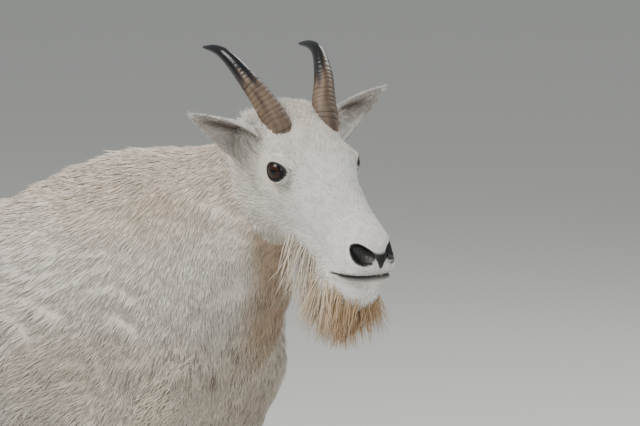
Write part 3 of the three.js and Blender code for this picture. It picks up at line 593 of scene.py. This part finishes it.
# The coat's own colours, with painted shade on the low front, the belly and part of the throat
def markingsAndShade(points, region, h, body):
    base = np.tile(tone["cream"], (len(points), 1))
    x, y, z = body.T / mm
    soft = noiseAt(points, (11, 11, 11))
    isFace = (region == "face") | (region == "muzzle")
    coat = 1.0 - isFace
    base = mixed(base, tone["peach"], 0.75 * step(z, 760, 900) * (0.8 + 0.5 * soft))
    # Painted shade: the lower front of the body is darkened towards the shade colour
    lowFront = step(z, 800, 640) * step(x, -60, 200) * coat
    base = mixed(base, tone["shade"], lowFront * (0.55 + 0.3 * noiseAt(points, (7, 7, 11), 4)))
    cracks = np.abs(noiseAt(points, (50, 50, 24), 9))
    thin = np.exp(-(cracks / 0.055) ** 2) * step(z, 735, 700) * step(x, 240, 300) * step(z, 500, 580) * coat
    base = mixed(base, tone["streak"], 0.7 * thin)
    edge = x - np.interp(z, chestEdge[:, 0], chestEdge[:, 1])
    # Tan on the throat below the beard, partly the coat's own tone and partly painted shade
    throat = step(edge, -42, -14) * step(z, 570, 700) * step(z, 890, 850) * coat
    throat = throat * step(np.abs(y + 25), 80, 45)
    base = mixed(base, tone["throat"], 0.85 * throat)
    base = mixed(base, tone["cream"], 0.8 * step(edge, -12, 2) * step(z, 700, 670) * coat)
    # Painted shade: darker again towards the belly
    base = mixed(base, tone["shade"], 0.30 * step(z, 560, 480) * coat * (0.6 + soft))
    base = mixed(base, tone["leg"], 0.6 * step(z, 480, 420) * coat)
    face = np.tile(tone["face"], (len(points), 1))
    face = mixed(face, tone["forehead"], 0.8 * step(h[:, 2], 18, 44) * step(h[:, 0], 40, -10))
    face = mixed(face, tone["forehead"], 0.6 * step(np.abs(h[:, 1]), 20, 48) * step(h[:, 0], 60, -20))
    face = mixed(face, tone["beardEdge"], step(h[:, 2], -62, -84) * step(h[:, 0], -20, 30))
    return np.where(isFace[:, None], face, base)


# Ears: their solids, divided and smoothed, become part of the skin

bpy.ops.object.select_all(action="DESELECT")
earObjects = []
for name in earNames:
    ear = copyOfNode(name, "earShell")
    bpy.context.view_layer.objects.active = ear
    remesh = ear.modifiers.new("fine", "REMESH")
    remesh.mode = "VOXEL"
    remesh.voxel_size = 1.5 * mm
    smooth = ear.modifiers.new("smooth", "SMOOTH")
    smooth.factor = 0.5
    smooth.iterations = 4
    for modifier in ("fine", "smooth"):
        bpy.ops.object.modifier_apply(modifier=modifier)
    smoothShaded(ear)
    ear.data.materials.clear()
    earObjects.append(ear)
say("ears: %s faces" % [len(e.data.polygons) for e in earObjects])

earAxes = {}
for ear, side in zip(earObjects, (1, -1)):
    root = fromHead([[-60, side * 44, -15]])[0]
    tip = fromHead([[-92, side * 147, 42 + 4 * side]])[0]
    earAxes[side] = (root, tip)


def earPlace(points, side):
    root, tip = earAxes[side]
    run = tip - root
    t = (points - root) @ run / (run @ run)
    axis = unit(run)
    mouth = alongHead(0.82, side * 0.42, -0.34)
    front = unit(mouth - axis * (mouth @ axis))
    return t, axis, front


def earMarkingsAndShade(points, normals, side):
    t, axis, front = earPlace(points, side)
    inside = step(normals @ front, 0.0, 0.35)
    base = np.tile(tone["face"], (len(points), 1))
    across = unit(np.cross(front, axis))
    root, tip = earAxes[side]
    off = (points - root - np.outer(t, tip - root)) @ across / mm
    fold = np.exp(-((off * side + 4) / 7) ** 2) * step(t, 0.15, 0.3) * step(t, 0.85, 0.6)
    # The inside of the ear cup is darker, partly its own darker hair and partly painted shade
    base = mixed(base, tone["earInside"], inside * 0.55 * step(t, 1.0, 0.85))
    # Painted shade: a dark band along the fold inside the cup
    return mixed(base, tone["streak"] * 0.6, inside * fold * 0.9)


skinRegion, skinHead, skinBody = regionsOf(pointsOf(skin))
skinColour = markingsAndShade(pointsOf(skin), skinRegion, skinHead, skinBody)
# Painted shade along the mouth's crease, over the lips' dark skin
skinColour = mixed(skinColour, tone["lip"], 0.55 * lipShade)
skinColour = mixed(skinColour, tone["nose"], np.maximum(lipMask, noseMask))
skinColour = mixed(skinColour, tone["lidRim"], lidMask)
paint(skin, "coatColour", skinColour)
bareSkin = np.maximum(np.maximum(noseMask, lidMask), lipMask)
paint(skin, "wetness", np.repeat(np.maximum(noseMask, lidMask)[:, None], 3, 1))
for ear, side in zip(earObjects, (1, -1)):
    paint(ear, "coatColour", earMarkingsAndShade(pointsOf(ear), normalsOf(ear), side))
    paint(ear, "wetness", np.zeros((len(ear.data.vertices), 3)))
bpy.ops.object.select_all(action="DESELECT")
for thing in (*earObjects, skin):
    thing.select_set(True)
layer = skin.data.attributes.new("furred", "FLOAT", "POINT")
layer.data.foreach_set("value", 1 - step(np.maximum(bareSkin, 2 * lipMask), 0.35, 0.7))
for ear in earObjects:
    layer = ear.data.attributes.new("furred", "FLOAT", "POINT")
    layer.data.foreach_set("value", np.ones(len(ear.data.vertices)))
bpy.context.view_layer.objects.active = skin
earFaceStart = len(skin.data.polygons)
bpy.ops.object.join()
say("skin and ears joined: %d faces" % len(skin.data.polygons))

# The skin is unwrapped once, and each tuft takes the place of its root on it
bpy.ops.object.select_all(action="DESELECT")
skin.select_set(True)
bpy.context.view_layer.objects.active = skin
bpy.ops.object.mode_set(mode="EDIT")
bpy.ops.mesh.select_all(action="SELECT")
bpy.ops.uv.smart_project(angle_limit=math.radians(66), island_margin=0.0)
bpy.ops.object.mode_set(mode="OBJECT")
skin.data.uv_layers[0].name = "OFBake"
say("skin unwrapped")

# Tufts

skin.data.calc_loop_triangles()
triangleCount = len(skin.data.loop_triangles)
triangleCorners = np.empty(triangleCount * 3, int)
skin.data.loop_triangles.foreach_get("vertices", triangleCorners)
triangleCorners = triangleCorners.reshape(-1, 3)
triangleLoops = np.empty(triangleCount * 3, int)
skin.data.loop_triangles.foreach_get("loops", triangleLoops)
triangleLoops = triangleLoops.reshape(-1, 3)
triangleFaces = np.empty(triangleCount, int)
skin.data.loop_triangles.foreach_get("polygon_index", triangleFaces)
uvs = np.empty(len(skin.data.loops) * 2)
skin.data.uv_layers[0].data.foreach_get("uv", uvs)
uvs = uvs.reshape(-1, 2)
allPoints = pointsOf(skin)
allNormals = normalsOf(skin)
corners = allPoints[triangleCorners]
sides = corners[:, 1:] - corners[:, :1]
areas = np.linalg.norm(np.cross(sides[:, 0], sides[:, 1]), axis=1) / 2
middles = corners.mean(1)
isEar = triangleFaces >= earFaceStart
middleRegion = np.empty(triangleCount, object)
middleRegion[~isEar] = regionsOf(middles[~isEar])[0]
middleRegion[isEar] = "ears"
spacing = settingAt("spacing", middleRegion, middles - bodyShift) * mm
density = areas / spacing ** 2
middleHead = toHead(middles)
furred = np.empty(len(skin.data.vertices))
skin.data.attributes["furred"].data.foreach_get("value", furred)
density *= furred[triangleCorners].min(1) > 0.5
density *= eyeOpening(middles) > 1.2
density *= middles[:, 2] > hoofTop


def scatter(weights):
    total = np.cumsum(weights)
    count = int(total[-1])
    picks = (np.arange(count) + seeded.random(count)) * (total[-1] / count)
    chosen = np.minimum(np.searchsorted(total, picks), len(weights) - 1)
    a, b = seeded.random((2, count))
    swap = a + b > 1
    a[swap], b[swap] = 1 - a[swap], 1 - b[swap]
    shares = np.stack([1 - a - b, a, b], 1)
    places = np.einsum("ij,ijk->ik", shares, allPoints[triangleCorners[chosen]])
    facing = unit(np.einsum("ij,ijk->ik", shares, allNormals[triangleCorners[chosen]]))
    uv = np.einsum("ij,ijk->ik", shares, uvs[triangleLoops[chosen]])
    return chosen, places, facing, uv


# Builds one mesh of closed tapered tufts, each with a ridged three-sided section that bends
def buildTufts(name, roots, normals, lie, uv, colour, length, width, lift, steps, slotName, tipTone,
               crisp=0.5, paleTip=0.2, wavy=0.13, curl=0.35):
    count = len(roots)
    up = np.sin(lift)[:, None]
    start = unit(lie * np.cos(lift)[:, None] + normals * up)
    across = unit(np.cross(start, normals))
    bend = seeded.normal(0, wavy, count)[:, None]
    levels = np.linspace(0, 1, steps + 1)
    profile = {2: (0.95, 0.8), 3: (0.9, 1.0, 0.62)}[steps]
    rings = []
    for t, share in zip(levels[:-1], profile):
        middle = (roots - normals * 1.0 * mm * (t == 0) + start * (length * t)[:, None]
                  - normals * (length * curl * up[:, 0] * t * t)[:, None]
                  + across * (length * t * t)[:, None] * bend)
        half = across * (width * share / 2)[:, None]
        rise = normals * (width * share * 0.30)[:, None]
        rings += [middle - half, middle + half, middle + rise]
    tip = (roots + start * length[:, None] - normals * (length * curl * up[:, 0])[:, None]
           + across * length[:, None] * bend)
    vertices = np.stack(rings + [tip], 1)
    perTuft = vertices.shape[1]
    faces = [[0, 1, 2]]
    for ring in range(steps - 1):
        for a, b in ((0, 1), (1, 2), (2, 0)):
            r, s = ring * 3, ring * 3 + 3
            faces += [[r + a, s + a, r + b], [r + b, s + a, s + b]]
    last = (steps - 1) * 3
    faces += [[last + a, perTuft - 1, last + b] for a, b in ((0, 1), (1, 2), (2, 0))]
    faces = np.array(faces)
    allFaces = (faces[None] + (np.arange(count) * perTuft)[:, None, None]).reshape(-1, 3)
    made = bpy.data.objects.new(name, bpy.data.meshes.new(name))
    mesh = made.data
    mesh.vertices.add(count * perTuft)
    mesh.vertices.foreach_set("co", vertices.ravel())
    mesh.loops.add(len(allFaces) * 3)
    mesh.loops.foreach_set("vertex_index", allFaces.ravel())
    mesh.polygons.add(len(allFaces))
    mesh.polygons.foreach_set("loop_start", np.arange(len(allFaces)) * 3)
    mesh.polygons.foreach_set("loop_total", np.full(len(allFaces), 3))
    mesh.polygons.foreach_set("use_smooth", np.ones(len(allFaces), bool))
    mesh.update(calc_edges=True)
    bpy.context.scene.collection.objects.link(made)
    flat = np.repeat(normals, perTuft, 0)
    own = np.empty(count * perTuft * 3)
    mesh.vertex_normals.foreach_get("vector", own)
    own = own.reshape(-1, 3)
    flatShare = 0.8 * step(np.sum(own * flat, 1), -0.1, 0.6)[:, None]
    soft = mesh.attributes.new("custom_normal", "FLOAT_VECTOR", "POINT")
    soft.data.foreach_set("vector", unit(own * crisp + flat * flatShare).ravel())
    share = np.concatenate([np.repeat(levels[:-1], 3), [1.0]])
    side = np.concatenate([np.tile([-1.0, 1.0, 0.0], steps), [0.0]])
    patch = np.stack([uv[:, None, 0] + side * patchSize / 2,
                      uv[:, None, 1] + (share - 0.5) * patchSize], 2)
    layer = mesh.uv_layers.new(name="OFBake")
    layer.data.foreach_set("uv", np.clip(patch.reshape(-1, 2)[allFaces.ravel()], 0, 1).ravel())
    # Painted shade and light along each tuft: darker at the root, paler towards the tip
    shade = (0.90 + 0.10 * share)[None, :, None] * colour[:, None, :]
    lit = shade + (tipTone - shade) * (paleTip * step(share, 0.5, 1.0))[None, :, None]
    paint(made, "coatColour", lit.reshape(-1, 3))
    say("%s: %d tufts, %d triangles" % (name, count, len(allFaces)))
    pieces.append((made, slotName))


pieces = []
chosen, roots, rootNormals, rootUv = scatter(density)
say("%d tuft roots" % len(roots))
earRoot = isEar[chosen]
region, headPlaces, bodyPlaces = regionsOf(roots)
region[earRoot] = "ears"
lie = lieOf(roots, rootNormals, region, headPlaces, bodyPlaces)
colour = markingsAndShade(roots, region, headPlaces, bodyPlaces)
for side in (1, -1):
    here = earRoot & (np.sign(headPlaces[:, 1]) == side)
    t, axis, front = earPlace(roots[here], side)
    flow = np.tile(axis, (here.sum(), 1)) - front * 0.1
    flow = unit(flow - rootNormals[here] * np.sum(flow * rootNormals[here], 1, keepdims=True))
    lie[here] = unit(flow + seeded.normal(0, 0.12, flow.shape))
    colour[here] = earMarkingsAndShade(roots[here], rootNormals[here], side)
patchy = noiseAt(roots, (85, 85, 85), 2) + 0.7 * noiseAt(roots, (190, 190, 190), 5)
colour = colour * (1 + seeded.normal(0, 0.05, (len(colour), 1)) + 0.16 * patchy[:, None])
colour = np.clip(colour, 0, 0.95)
jaggedness = seeded.normal(1, 0.16, len(roots))
length = settingAt("length", region, bodyPlaces) * mm * np.clip(jaggedness, 0.6, 1.4)
width = settingAt("width", region, bodyPlaces) * mm * np.clip(seeded.normal(1, 0.2, len(roots)), 0.5, 1.5)
lift = settingAt("lift", region, bodyPlaces) * np.clip(seeded.normal(1, 0.3, len(roots)), 0.3, 1.8)

# The coat is shortest round the eyes and nose and longest on the ridge, cheeks and chest
nearEye = 1 - step(eyeOpening(roots), 1.2, 2.2)
length *= 1 - 0.5 * nearEye
chinHair = step(headPlaces[:, 2], -62, -76) * (region == "muzzle")
length *= 1 + 1.9 * chinHair
lift += 0.1 * chinHair
belly = step(bodyPlaces[:, 2], 0.62, 0.54) * ((region == "back") | (region == "chest"))
length *= 1 + 0.45 * belly
cheek = step(headPlaces[:, 0], 50, -30) * step(np.abs(headPlaces[:, 1]), 20, 40) * (region == "face")
length *= 1 + 0.6 * cheek
width *= 1 + 0.25 * cheek
crest = step(headPlaces[:, 0], -30, -60) * step(headPlaces[:, 2], 5, 30) * (region == "face")
length *= 1 + 0.55 * crest
lift += 0.26 * crest
for root, tip in earAxes.values():
    toEar = np.linalg.norm(roots - (root + 0.12 * (tip - root)), axis=1)
    byEar = step(toEar, 0.042, 0.022) * (region == "face")
    length *= 1 + 1.0 * byEar
    lift += 0.12 * byEar
hornRoots = fromHead([[-44, 29, 12], [-44, -29, 12]])
byHorn = np.min([np.linalg.norm(roots - place, axis=1) for place in hornRoots], 0)
length *= 1 - 0.55 * step(byHorn, 0.046, 0.026)
ridge = (step(bodyPlaces[:, 2], 0.86, 0.92)
         * ((region == "back") | (region == "chest") | (region == "neck")))
lift += 0.15 * ridge
legLow = step(bodyPlaces[:, 2], 0.40, 0.15) * (region == "legs")
length *= 1 - 0.3 * legLow

for name in ("face", "muzzle", "ears", "neck", "chest", "back", "legs", "tail"):
    members = np.nonzero(region == name)[0]
    steps = furSettings[name]["steps"]
    most = 190000 // {2: 10, 3: 16}[steps]
    parts = max(1, math.ceil(len(members) / most))
    order = members[np.argsort(roots[members, 0])]
    for number, part in enumerate(np.array_split(order, parts)):
        buildTufts("%s_coat_%d" % (name, number + 1), roots[part], rootNormals[part], lie[part],
                   rootUv[part], colour[part], length[part], width[part], lift[part], steps,
                   "ear_skin" if name == "ears" else "coat", tone["face"],
                   {"face": 1.6, "muzzle": 1.2, "neck": 0.5}.get(name, 0.38))

# Beard: long tufts that hang from the jaw and chin and end along one rounded lower edge
under = (step(middleHead[:, 2], -60, -74) * step(middleHead[:, 0], 26, 56) * ~isEar
         * (middleRegion != "neck"))
beardWeights = areas * under / (furSettings["beard"]["spacing"] * mm) ** 2
_, beardRoots, beardNormals, beardUv = scatter(beardWeights * (1))
beardHead = toHead(beardRoots)
forward = 0.839 * beardHead[:, 0] + 0.545 * beardHead[:, 2]
height = -0.545 * beardHead[:, 0] + 0.839 * beardHead[:, 2]
beardEdge = np.array([[-25, -150], [0, -178], [12, -192], [35, -210], [60, -222], [85, -219],
                      [100, -202], [112, -186]])
lowest = np.interp(forward, beardEdge[:, 0], beardEdge[:, 1])
lowest = lowest + 16 * (np.abs(beardHead[:, 1]) / 32) ** 2
down = np.array([0.0, 0.0, -1.0])
beardLie = (np.tile(down, (len(beardRoots), 1)) + np.outer(beardHead[:, 1] / 110, alongHead(0, 1, 0)))
clump = np.array([noise.noise_vector(Vector(p) * 55)[:] for p in beardRoots])
fine = np.array([noise.noise_vector(Vector(p) * 160)[:] for p in beardRoots])
beardLie = unit(beardLie + clump * 0.24 + fine * 0.2)
pale = np.maximum(step(forward, 52, 20), 0.6 * step(np.abs(beardHead[:, 1]), 18, 34))
pale = np.maximum(pale, 0.6 * step(height, -146, -124))
pale = pale + 0.25 * noiseAt(beardRoots, (120, 120, 120), 6)
beardColour = mixed(np.tile(tone["beard"], (len(beardRoots), 1)), tone["beardEdge"], pale)
dark = (1 - pale) * 0.3 * step(noiseAt(beardRoots, (45, 45, 45), 3), 0.0, 0.4)
beardColour = mixed(beardColour, tone["beardDark"], dark)
layered = np.where(seeded.random(len(beardRoots)) < 0.4, seeded.uniform(0.35, 0.85, len(beardRoots)), 0.98)
beardLength = (height - lowest) * layered * np.clip(seeded.normal(1, 0.07, len(beardRoots)), 0.8, 1.12)
beardLength = np.clip(beardLength, furSettings["beard"]["shortest"], furSettings["beard"]["longest"]) * mm
beardWidth = furSettings["beard"]["width"] * mm * np.clip(seeded.normal(1, 0.2, len(beardRoots)), 0.5, 1.6)
outward = unit(beardNormals * np.array([1, 1, 0.2]) + np.array([0, 0, 0.45]))
order = np.argsort(beardRoots[:, 0])
for number, part in enumerate(np.array_split(order, math.ceil(len(order) / 12000))):
    buildTufts("beard_%d" % (number + 1), beardRoots[part], outward[part], beardLie[part], beardUv[part],
               beardColour[part], beardLength[part], beardWidth[part], np.full(len(part), 0.06), 3,
               "beard_hair", tone["beardEdge"], 0.25, 0.3, 0.2)

# Materials


def newMaterial(name):
    made = bpy.data.materials.new(name)
    made.use_nodes = True
    return made, made.node_tree, made.node_tree.nodes["Principled BSDF"]


def addNode(tree, kind, links=(), **values):
    made = tree.nodes.new(kind)
    for key, value in values.items():
        if hasattr(made, key):
            setattr(made, key, value)
        else:
            made.inputs[key].default_value = value
    for socket, source in links:
        tree.links.new(source, made.inputs[socket])
    return made


# The colours painted on a piece
def addPaint(tree, surface, layerName):
    painted = addNode(tree, "ShaderNodeAttribute", attribute_name=layerName)
    tree.links.new(painted.outputs["Color"], surface.inputs["Base Color"])


# Fine noise in the piece's own space, pressed into its surface
def addGrain(tree, surface, scale, detail, strength, distance):
    place = addNode(tree, "ShaderNodeTexCoord")
    grain = addNode(tree, "ShaderNodeTexNoise", [("Vector", place.outputs["Object"])],
                    Scale=scale, Detail=detail)
    bump = addNode(tree, "ShaderNodeBump", [("Height", grain.outputs["Fac"])],
                   Strength=strength, Distance=distance)
    tree.links.new(bump.outputs["Normal"], surface.inputs["Normal"])
    return grain


# Roughness that runs from dull to shiny with a painted layer
def addShine(tree, surface, layerName, dull, shiny):
    shine = addNode(tree, "ShaderNodeAttribute", attribute_name=layerName)
    rough = addNode(tree, "ShaderNodeMapRange", [("Value", shine.outputs["Fac"])])
    rough.inputs["To Min"].default_value = dull
    rough.inputs["To Max"].default_value = shiny
    tree.links.new(rough.outputs["Result"], surface.inputs["Roughness"])


# Coat: the painted colour of each tuft, matt, with a little sheen
coatMaterial, tree, surface = newMaterial("white summer fur")
addPaint(tree, surface, "coatColour")
surface.inputs["Roughness"].default_value = 0.85
surface.inputs["Sheen Weight"].default_value = 0.25
surface.inputs["Sheen Roughness"].default_value = 0.6
surface.inputs["Specular IOR Level"].default_value = 0.2

# Skin under the coat: the same colours, with fine short fur as bumps, wet at nose and lids
skinMaterial, tree, surface = newMaterial("skin under short fur")
addPaint(tree, surface, "coatColour")
addGrain(tree, surface, 900.0, 3.0, 0.35, 0.0006)
addShine(tree, surface, "wetness", 0.85, 0.46)
skin.data.materials.clear()
skin.data.materials.append(skinMaterial)
for piece, slotName in pieces:
    piece.data.materials.append(coatMaterial)

# Eyes: a wet dark ball with a brown iris and a wide level pupil


def makeEye(name):
    bpy.ops.object.select_all(action="DESELECT")
    bpy.ops.mesh.primitive_uv_sphere_add(segments=96, ring_count=64, radius=eyeRadius, location=(0, 0, 0))
    eye = bpy.context.active_object
    eye.name = "eyeball_" + name
    axes = np.stack([slant[name], upward[name], gaze[name]], 1)
    local = pointsOf(eye)
    ray = unit(local)
    setPoints(eye, local @ axes.T + eyeCentres[name])
    far = np.hypot(ray[:, 0], ray[:, 1])
    front = ray[:, 2] > 0
    iris = eyeSettings["iris"]
    pupil = np.hypot(ray[:, 0] / eyeSettings["pupilWide"], ray[:, 1] / eyeSettings["pupilHigh"])
    streaks = noiseAt(np.stack([np.arctan2(ray[:, 1], ray[:, 0]), far * 0.4, far * 0], 1), (7, 3, 1))
    value = np.tile(tone["eyeball"], (len(local), 1))
    brown = tone["iris"] * (1 + 0.6 * streaks[:, None])
    value = np.where((front & (far < iris))[:, None], brown, value)
    value = mixed(value, tone["irisRim"], step(far, iris - 0.12, iris) * front)
    value = mixed(value, tone["pupil"], step(pupil, 1.08, 0.92) * front)
    paint(eye, "eyeColour", value)
    smoothShaded(eye)
    return eye


eyeMaterial, tree, surface = newMaterial("wet brown eye")
addPaint(tree, surface, "eyeColour")
surface.inputs["Roughness"].default_value = 0.07
surface.inputs["Specular IOR Level"].default_value = 0.35
for name in ("right", "left"):
    eye = makeEye(name)
    eye.data.materials.append(eyeMaterial)
    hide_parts("eye_" + name)
    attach(eye, "root")
say("eyes made")

# Horns: an oval bar along the horn's curve, ringed below and smooth above

hornCurve = [(-38, 28, 6), (-50, 33.5, 26), (-80, 43.5, 43.5), (-111, 56, 56.5), (-149, 67.5, 64),
             (-174, 71.5, 58.5), (-200, 73.5, 42)]


def curvePoints(controls, count):
    controls = np.array(controls, float)
    padded = np.vstack([2 * controls[0] - controls[1], controls, 2 * controls[-1] - controls[-2]])
    fine = []
    for i in range(len(controls) - 1):
        a, b, c, d = padded[i:i + 4]
        for t in np.linspace(0, 1, 40, endpoint=False):
            fine.append(0.5 * (2 * b + (c - a) * t + (2 * a - 5 * b + 4 * c - d) * t ** 2
                               + (3 * b - a - 3 * c + d) * t ** 3))
    fine = np.array(fine + [controls[-1]])
    run = np.concatenate([[0], np.cumsum(np.linalg.norm(np.diff(fine, axis=0), axis=1))])
    wanted = np.linspace(0, run[-1], count)
    return np.stack([np.interp(wanted, run, fine[:, n]) for n in range(3)], 1)


def closeEnds(work):
    bmesh.ops.holes_fill(work, edges=[e for e in work.edges if e.is_boundary], sides=0)
    bmesh.ops.recalc_face_normals(work, faces=work.faces)


def noiseAlong(t, rate, y, z):
    return np.array([noise.noise(Vector((s * rate, y, z))) for s in t])[:, None]


def makeHorn(name, side):
    around, along = 40, 220
    controls = [(x, side * y, z - side * 0.1 * i * i) for i, (x, y, z) in enumerate(hornCurve)]
    line = curvePoints(controls, along)
    tangent = unit(np.gradient(line, axis=0))
    sideways = np.array([0.0, 1, 0])
    across = unit(sideways - tangent * (tangent @ sideways)[:, None])
    deep = np.cross(tangent, across)
    t = np.linspace(0, 0.999, along)
    angle = np.linspace(0, 2 * math.pi, around, endpoint=False)
    radius = hornSettings["thickness"] * (1 - t) ** 0.64 * (1 - 0.16 * t) + 0.5
    ringsEnd = hornSettings["ringsUpTo"]
    ringZone = (step(t, 0.02, 0.06) * step(t, ringsEnd + 0.08, ringsEnd - 0.06))[:, None]
    wobble = np.array([[noise.noise(Vector((3 * math.cos(a) * 0.4, 3 * math.sin(a) * 0.4, s * 14 + side)))
                        for a in angle] for s in t])
    uneven = noiseAlong(t, 9, side * 5.0, 2)
    phase = (t[:, None] + 0.02 * uneven) * hornSettings["rings"] * 2 * math.pi / ringsEnd + 1.1 * wobble
    strength = np.clip(0.55 + 1.5 * noiseAlong(t, 31, 1, side * 3.0), 0.1, 1)
    groove = strength * np.exp(-((np.mod(phase, 2 * math.pi) - math.pi) / 0.5) ** 2)
    swell = 0.35 * noiseAlong(t, 17, 4, side * 3.0) + 0.15 * np.cos(phase)
    rings = radius[:, None] + ringZone * (swell - hornSettings["ringDepth"] * groove)
    points = (line[:, None, :] + across[:, None, :] * (np.cos(angle) * rings * 0.9)[:, :, None]
              + deep[:, None, :] * (np.sin(angle) * rings)[:, :, None])
    flat = fromHead(points.reshape(-1, 3))
    faces = [[r * around + i, r * around + (i + 1) % around, (r + 1) * around + (i + 1) % around,
              (r + 1) * around + i] for r in range(along - 1) for i in range(around)]
    horn = makeObject("fine_horn_" + name, flat, faces)
    reworked(horn, closeEnds)
    full = np.repeat(t, around)
    low = np.tile(tone["hornLow"], (len(flat), 1))
    turned = np.stack([np.tile(np.cos(angle), along), np.tile(np.sin(angle), along), full], 1)
    streak = noiseAt(turned, (2.6, 2.6, 5), side)
    low = mixed(low, tone["hornStreak"], 0.35 + 1.1 * streak)
    low = mixed(low, tone["hornWarm"], 0.55 * step(full, 0.28, 0.5) * step(streak, -0.1, 0.2))
    value = mixed(low, tone["hornTip"], step(full + 0.2 * streak, 0.34, 0.62))
    # Painted shade: the ring grooves are darkened almost to black
    value = mixed(value, tone["hornGrooveShade"], 0.9 * (groove * ringZone).ravel())
    paint(horn, "hornColour", value)
    paint(horn, "hornShine", np.repeat(step(full, 0.40, 0.62)[:, None], 3, 1))
    smoothShaded(horn)
    return horn


hornMaterial, tree, surface = newMaterial("ringed horn, glossy towards its tip")
addPaint(tree, surface, "hornColour")
addGrain(tree, surface, 420.0, 4.0, 0.25, 0.0006)
addShine(tree, surface, "hornShine", 0.55, 0.22)
for name, side in (("right", -1), ("left", 1)):
    horn = makeHorn(name, side)
    horn.data.materials.append(hornMaterial)
    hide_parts("horn_" + name)
    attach(horn, "root")
say("horns made")

# Hooves and dewclaws: their solids, the hooves with rounded edges

hoofMaterial, tree, surface = newMaterial("dark hoof horn")
grain = addGrain(tree, surface, 260.0, 4.0, 0.3, 0.0008)
ramp = addNode(tree, "ShaderNodeValToRGB", [("Fac", grain.outputs["Fac"])])
ramp.color_ramp.elements[0].color = (*tone["hoofDark"], 1)
ramp.color_ramp.elements[1].color = (*tone["hoofPale"], 1)
tree.links.new(ramp.outputs["Color"], surface.inputs["Base Color"])
surface.inputs["Roughness"].default_value = 0.45
for name in [n for n in nodes if n.startswith(("hoof", "dewclaw"))]:
    hoof = copyOfNode(name, "fine_" + name)
    bpy.ops.object.select_all(action="DESELECT")
    hoof.select_set(True)
    bpy.context.view_layer.objects.active = hoof
    if name.startswith("hoof"):
        bevel = hoof.modifiers.new("rounded", "BEVEL")
        bevel.width = 1.5 * mm
        bevel.segments = 2
        bevel.angle_limit = math.radians(50)
        bpy.ops.object.modifier_apply(modifier="rounded")
    smoothShaded(hoof)
    bpy.ops.object.shade_smooth_by_angle(angle=math.radians(40))
    hoof.data.materials.clear()
    hoof.data.materials.append(hoofMaterial)
    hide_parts(name)
    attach(hoof, "root")
say("hooves made")

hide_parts(*fleshNames, *earNames)
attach(skin, "root")
for piece, slotName in pieces:
    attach(piece, "root")

# Studio: a pale flat floor, soft lights and the camera

floorMaterial, tree, surface = newMaterial("pale studio floor")
surface.inputs["Base Color"].default_value = (*tone["floor"], 1)
surface.inputs["Roughness"].default_value = 0.9
bpy.ops.object.select_all(action="DESELECT")
bpy.ops.mesh.primitive_plane_add(size=60, location=(0, 0, 0))
floor = bpy.context.active_object
floor.name = "floor"
floor.data.materials.append(floorMaterial)

azimuth = math.radians(cameraSettings["azimuth"])
elevation = math.radians(cameraSettings["elevation"])
right = np.array([math.cos(azimuth), math.sin(azimuth), 0])
back = np.array([math.sin(azimuth) * math.cos(elevation), -math.cos(azimuth) * math.cos(elevation),
                 math.sin(elevation)])
above = np.cross(back, right)
target = headOrigin + right * cameraSettings["rightward"] - above * cameraSettings["downward"]
cameraData = bpy.data.cameras.new("camera")
cameraData.sensor_width = 36
cameraData.lens = cameraSettings["lens"]
cameraData.clip_end = 100
camera = bpy.data.objects.new("camera", cameraData)
bpy.context.scene.collection.objects.link(camera)
rotation = Matrix((right, above, back)).transposed()
stand = Vector(target + back * cameraSettings["distance"])
camera.matrix_world = Matrix.Translation(stand) @ rotation.to_4x4()
bpy.context.scene.camera = camera


def addLight(name, offset, size, power, warmth):
    data = bpy.data.lights.new(name, "AREA")
    data.size = size
    data.energy = power
    data.color = warmth
    light = bpy.data.objects.new(name, data)
    bpy.context.scene.collection.objects.link(light)
    place = Vector(offset)
    light.location = place
    light.rotation_euler = (Vector((0.1, 0, 0.6)) - place).to_track_quat("-Z", "Y").to_euler()


addLight("key", (-1.6, -2.6, 4.2), 2.6, 200, (1, 0.97, 0.93))
addLight("fill", (3.2, -2.4, 2.0), 2.5, 42, (0.97, 0.98, 1))
addLight("rim", (0.6, 3.0, 3.2), 2.0, 70, (1, 1, 1))
world = bpy.data.worlds.new("soft sky")
bpy.context.scene.world = world
world.use_nodes = True
world.node_tree.nodes["Background"].inputs["Color"].default_value = (*tone["sky"], 1)
world.node_tree.nodes["Background"].inputs["Strength"].default_value = 0.6

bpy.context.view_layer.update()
say("finished")
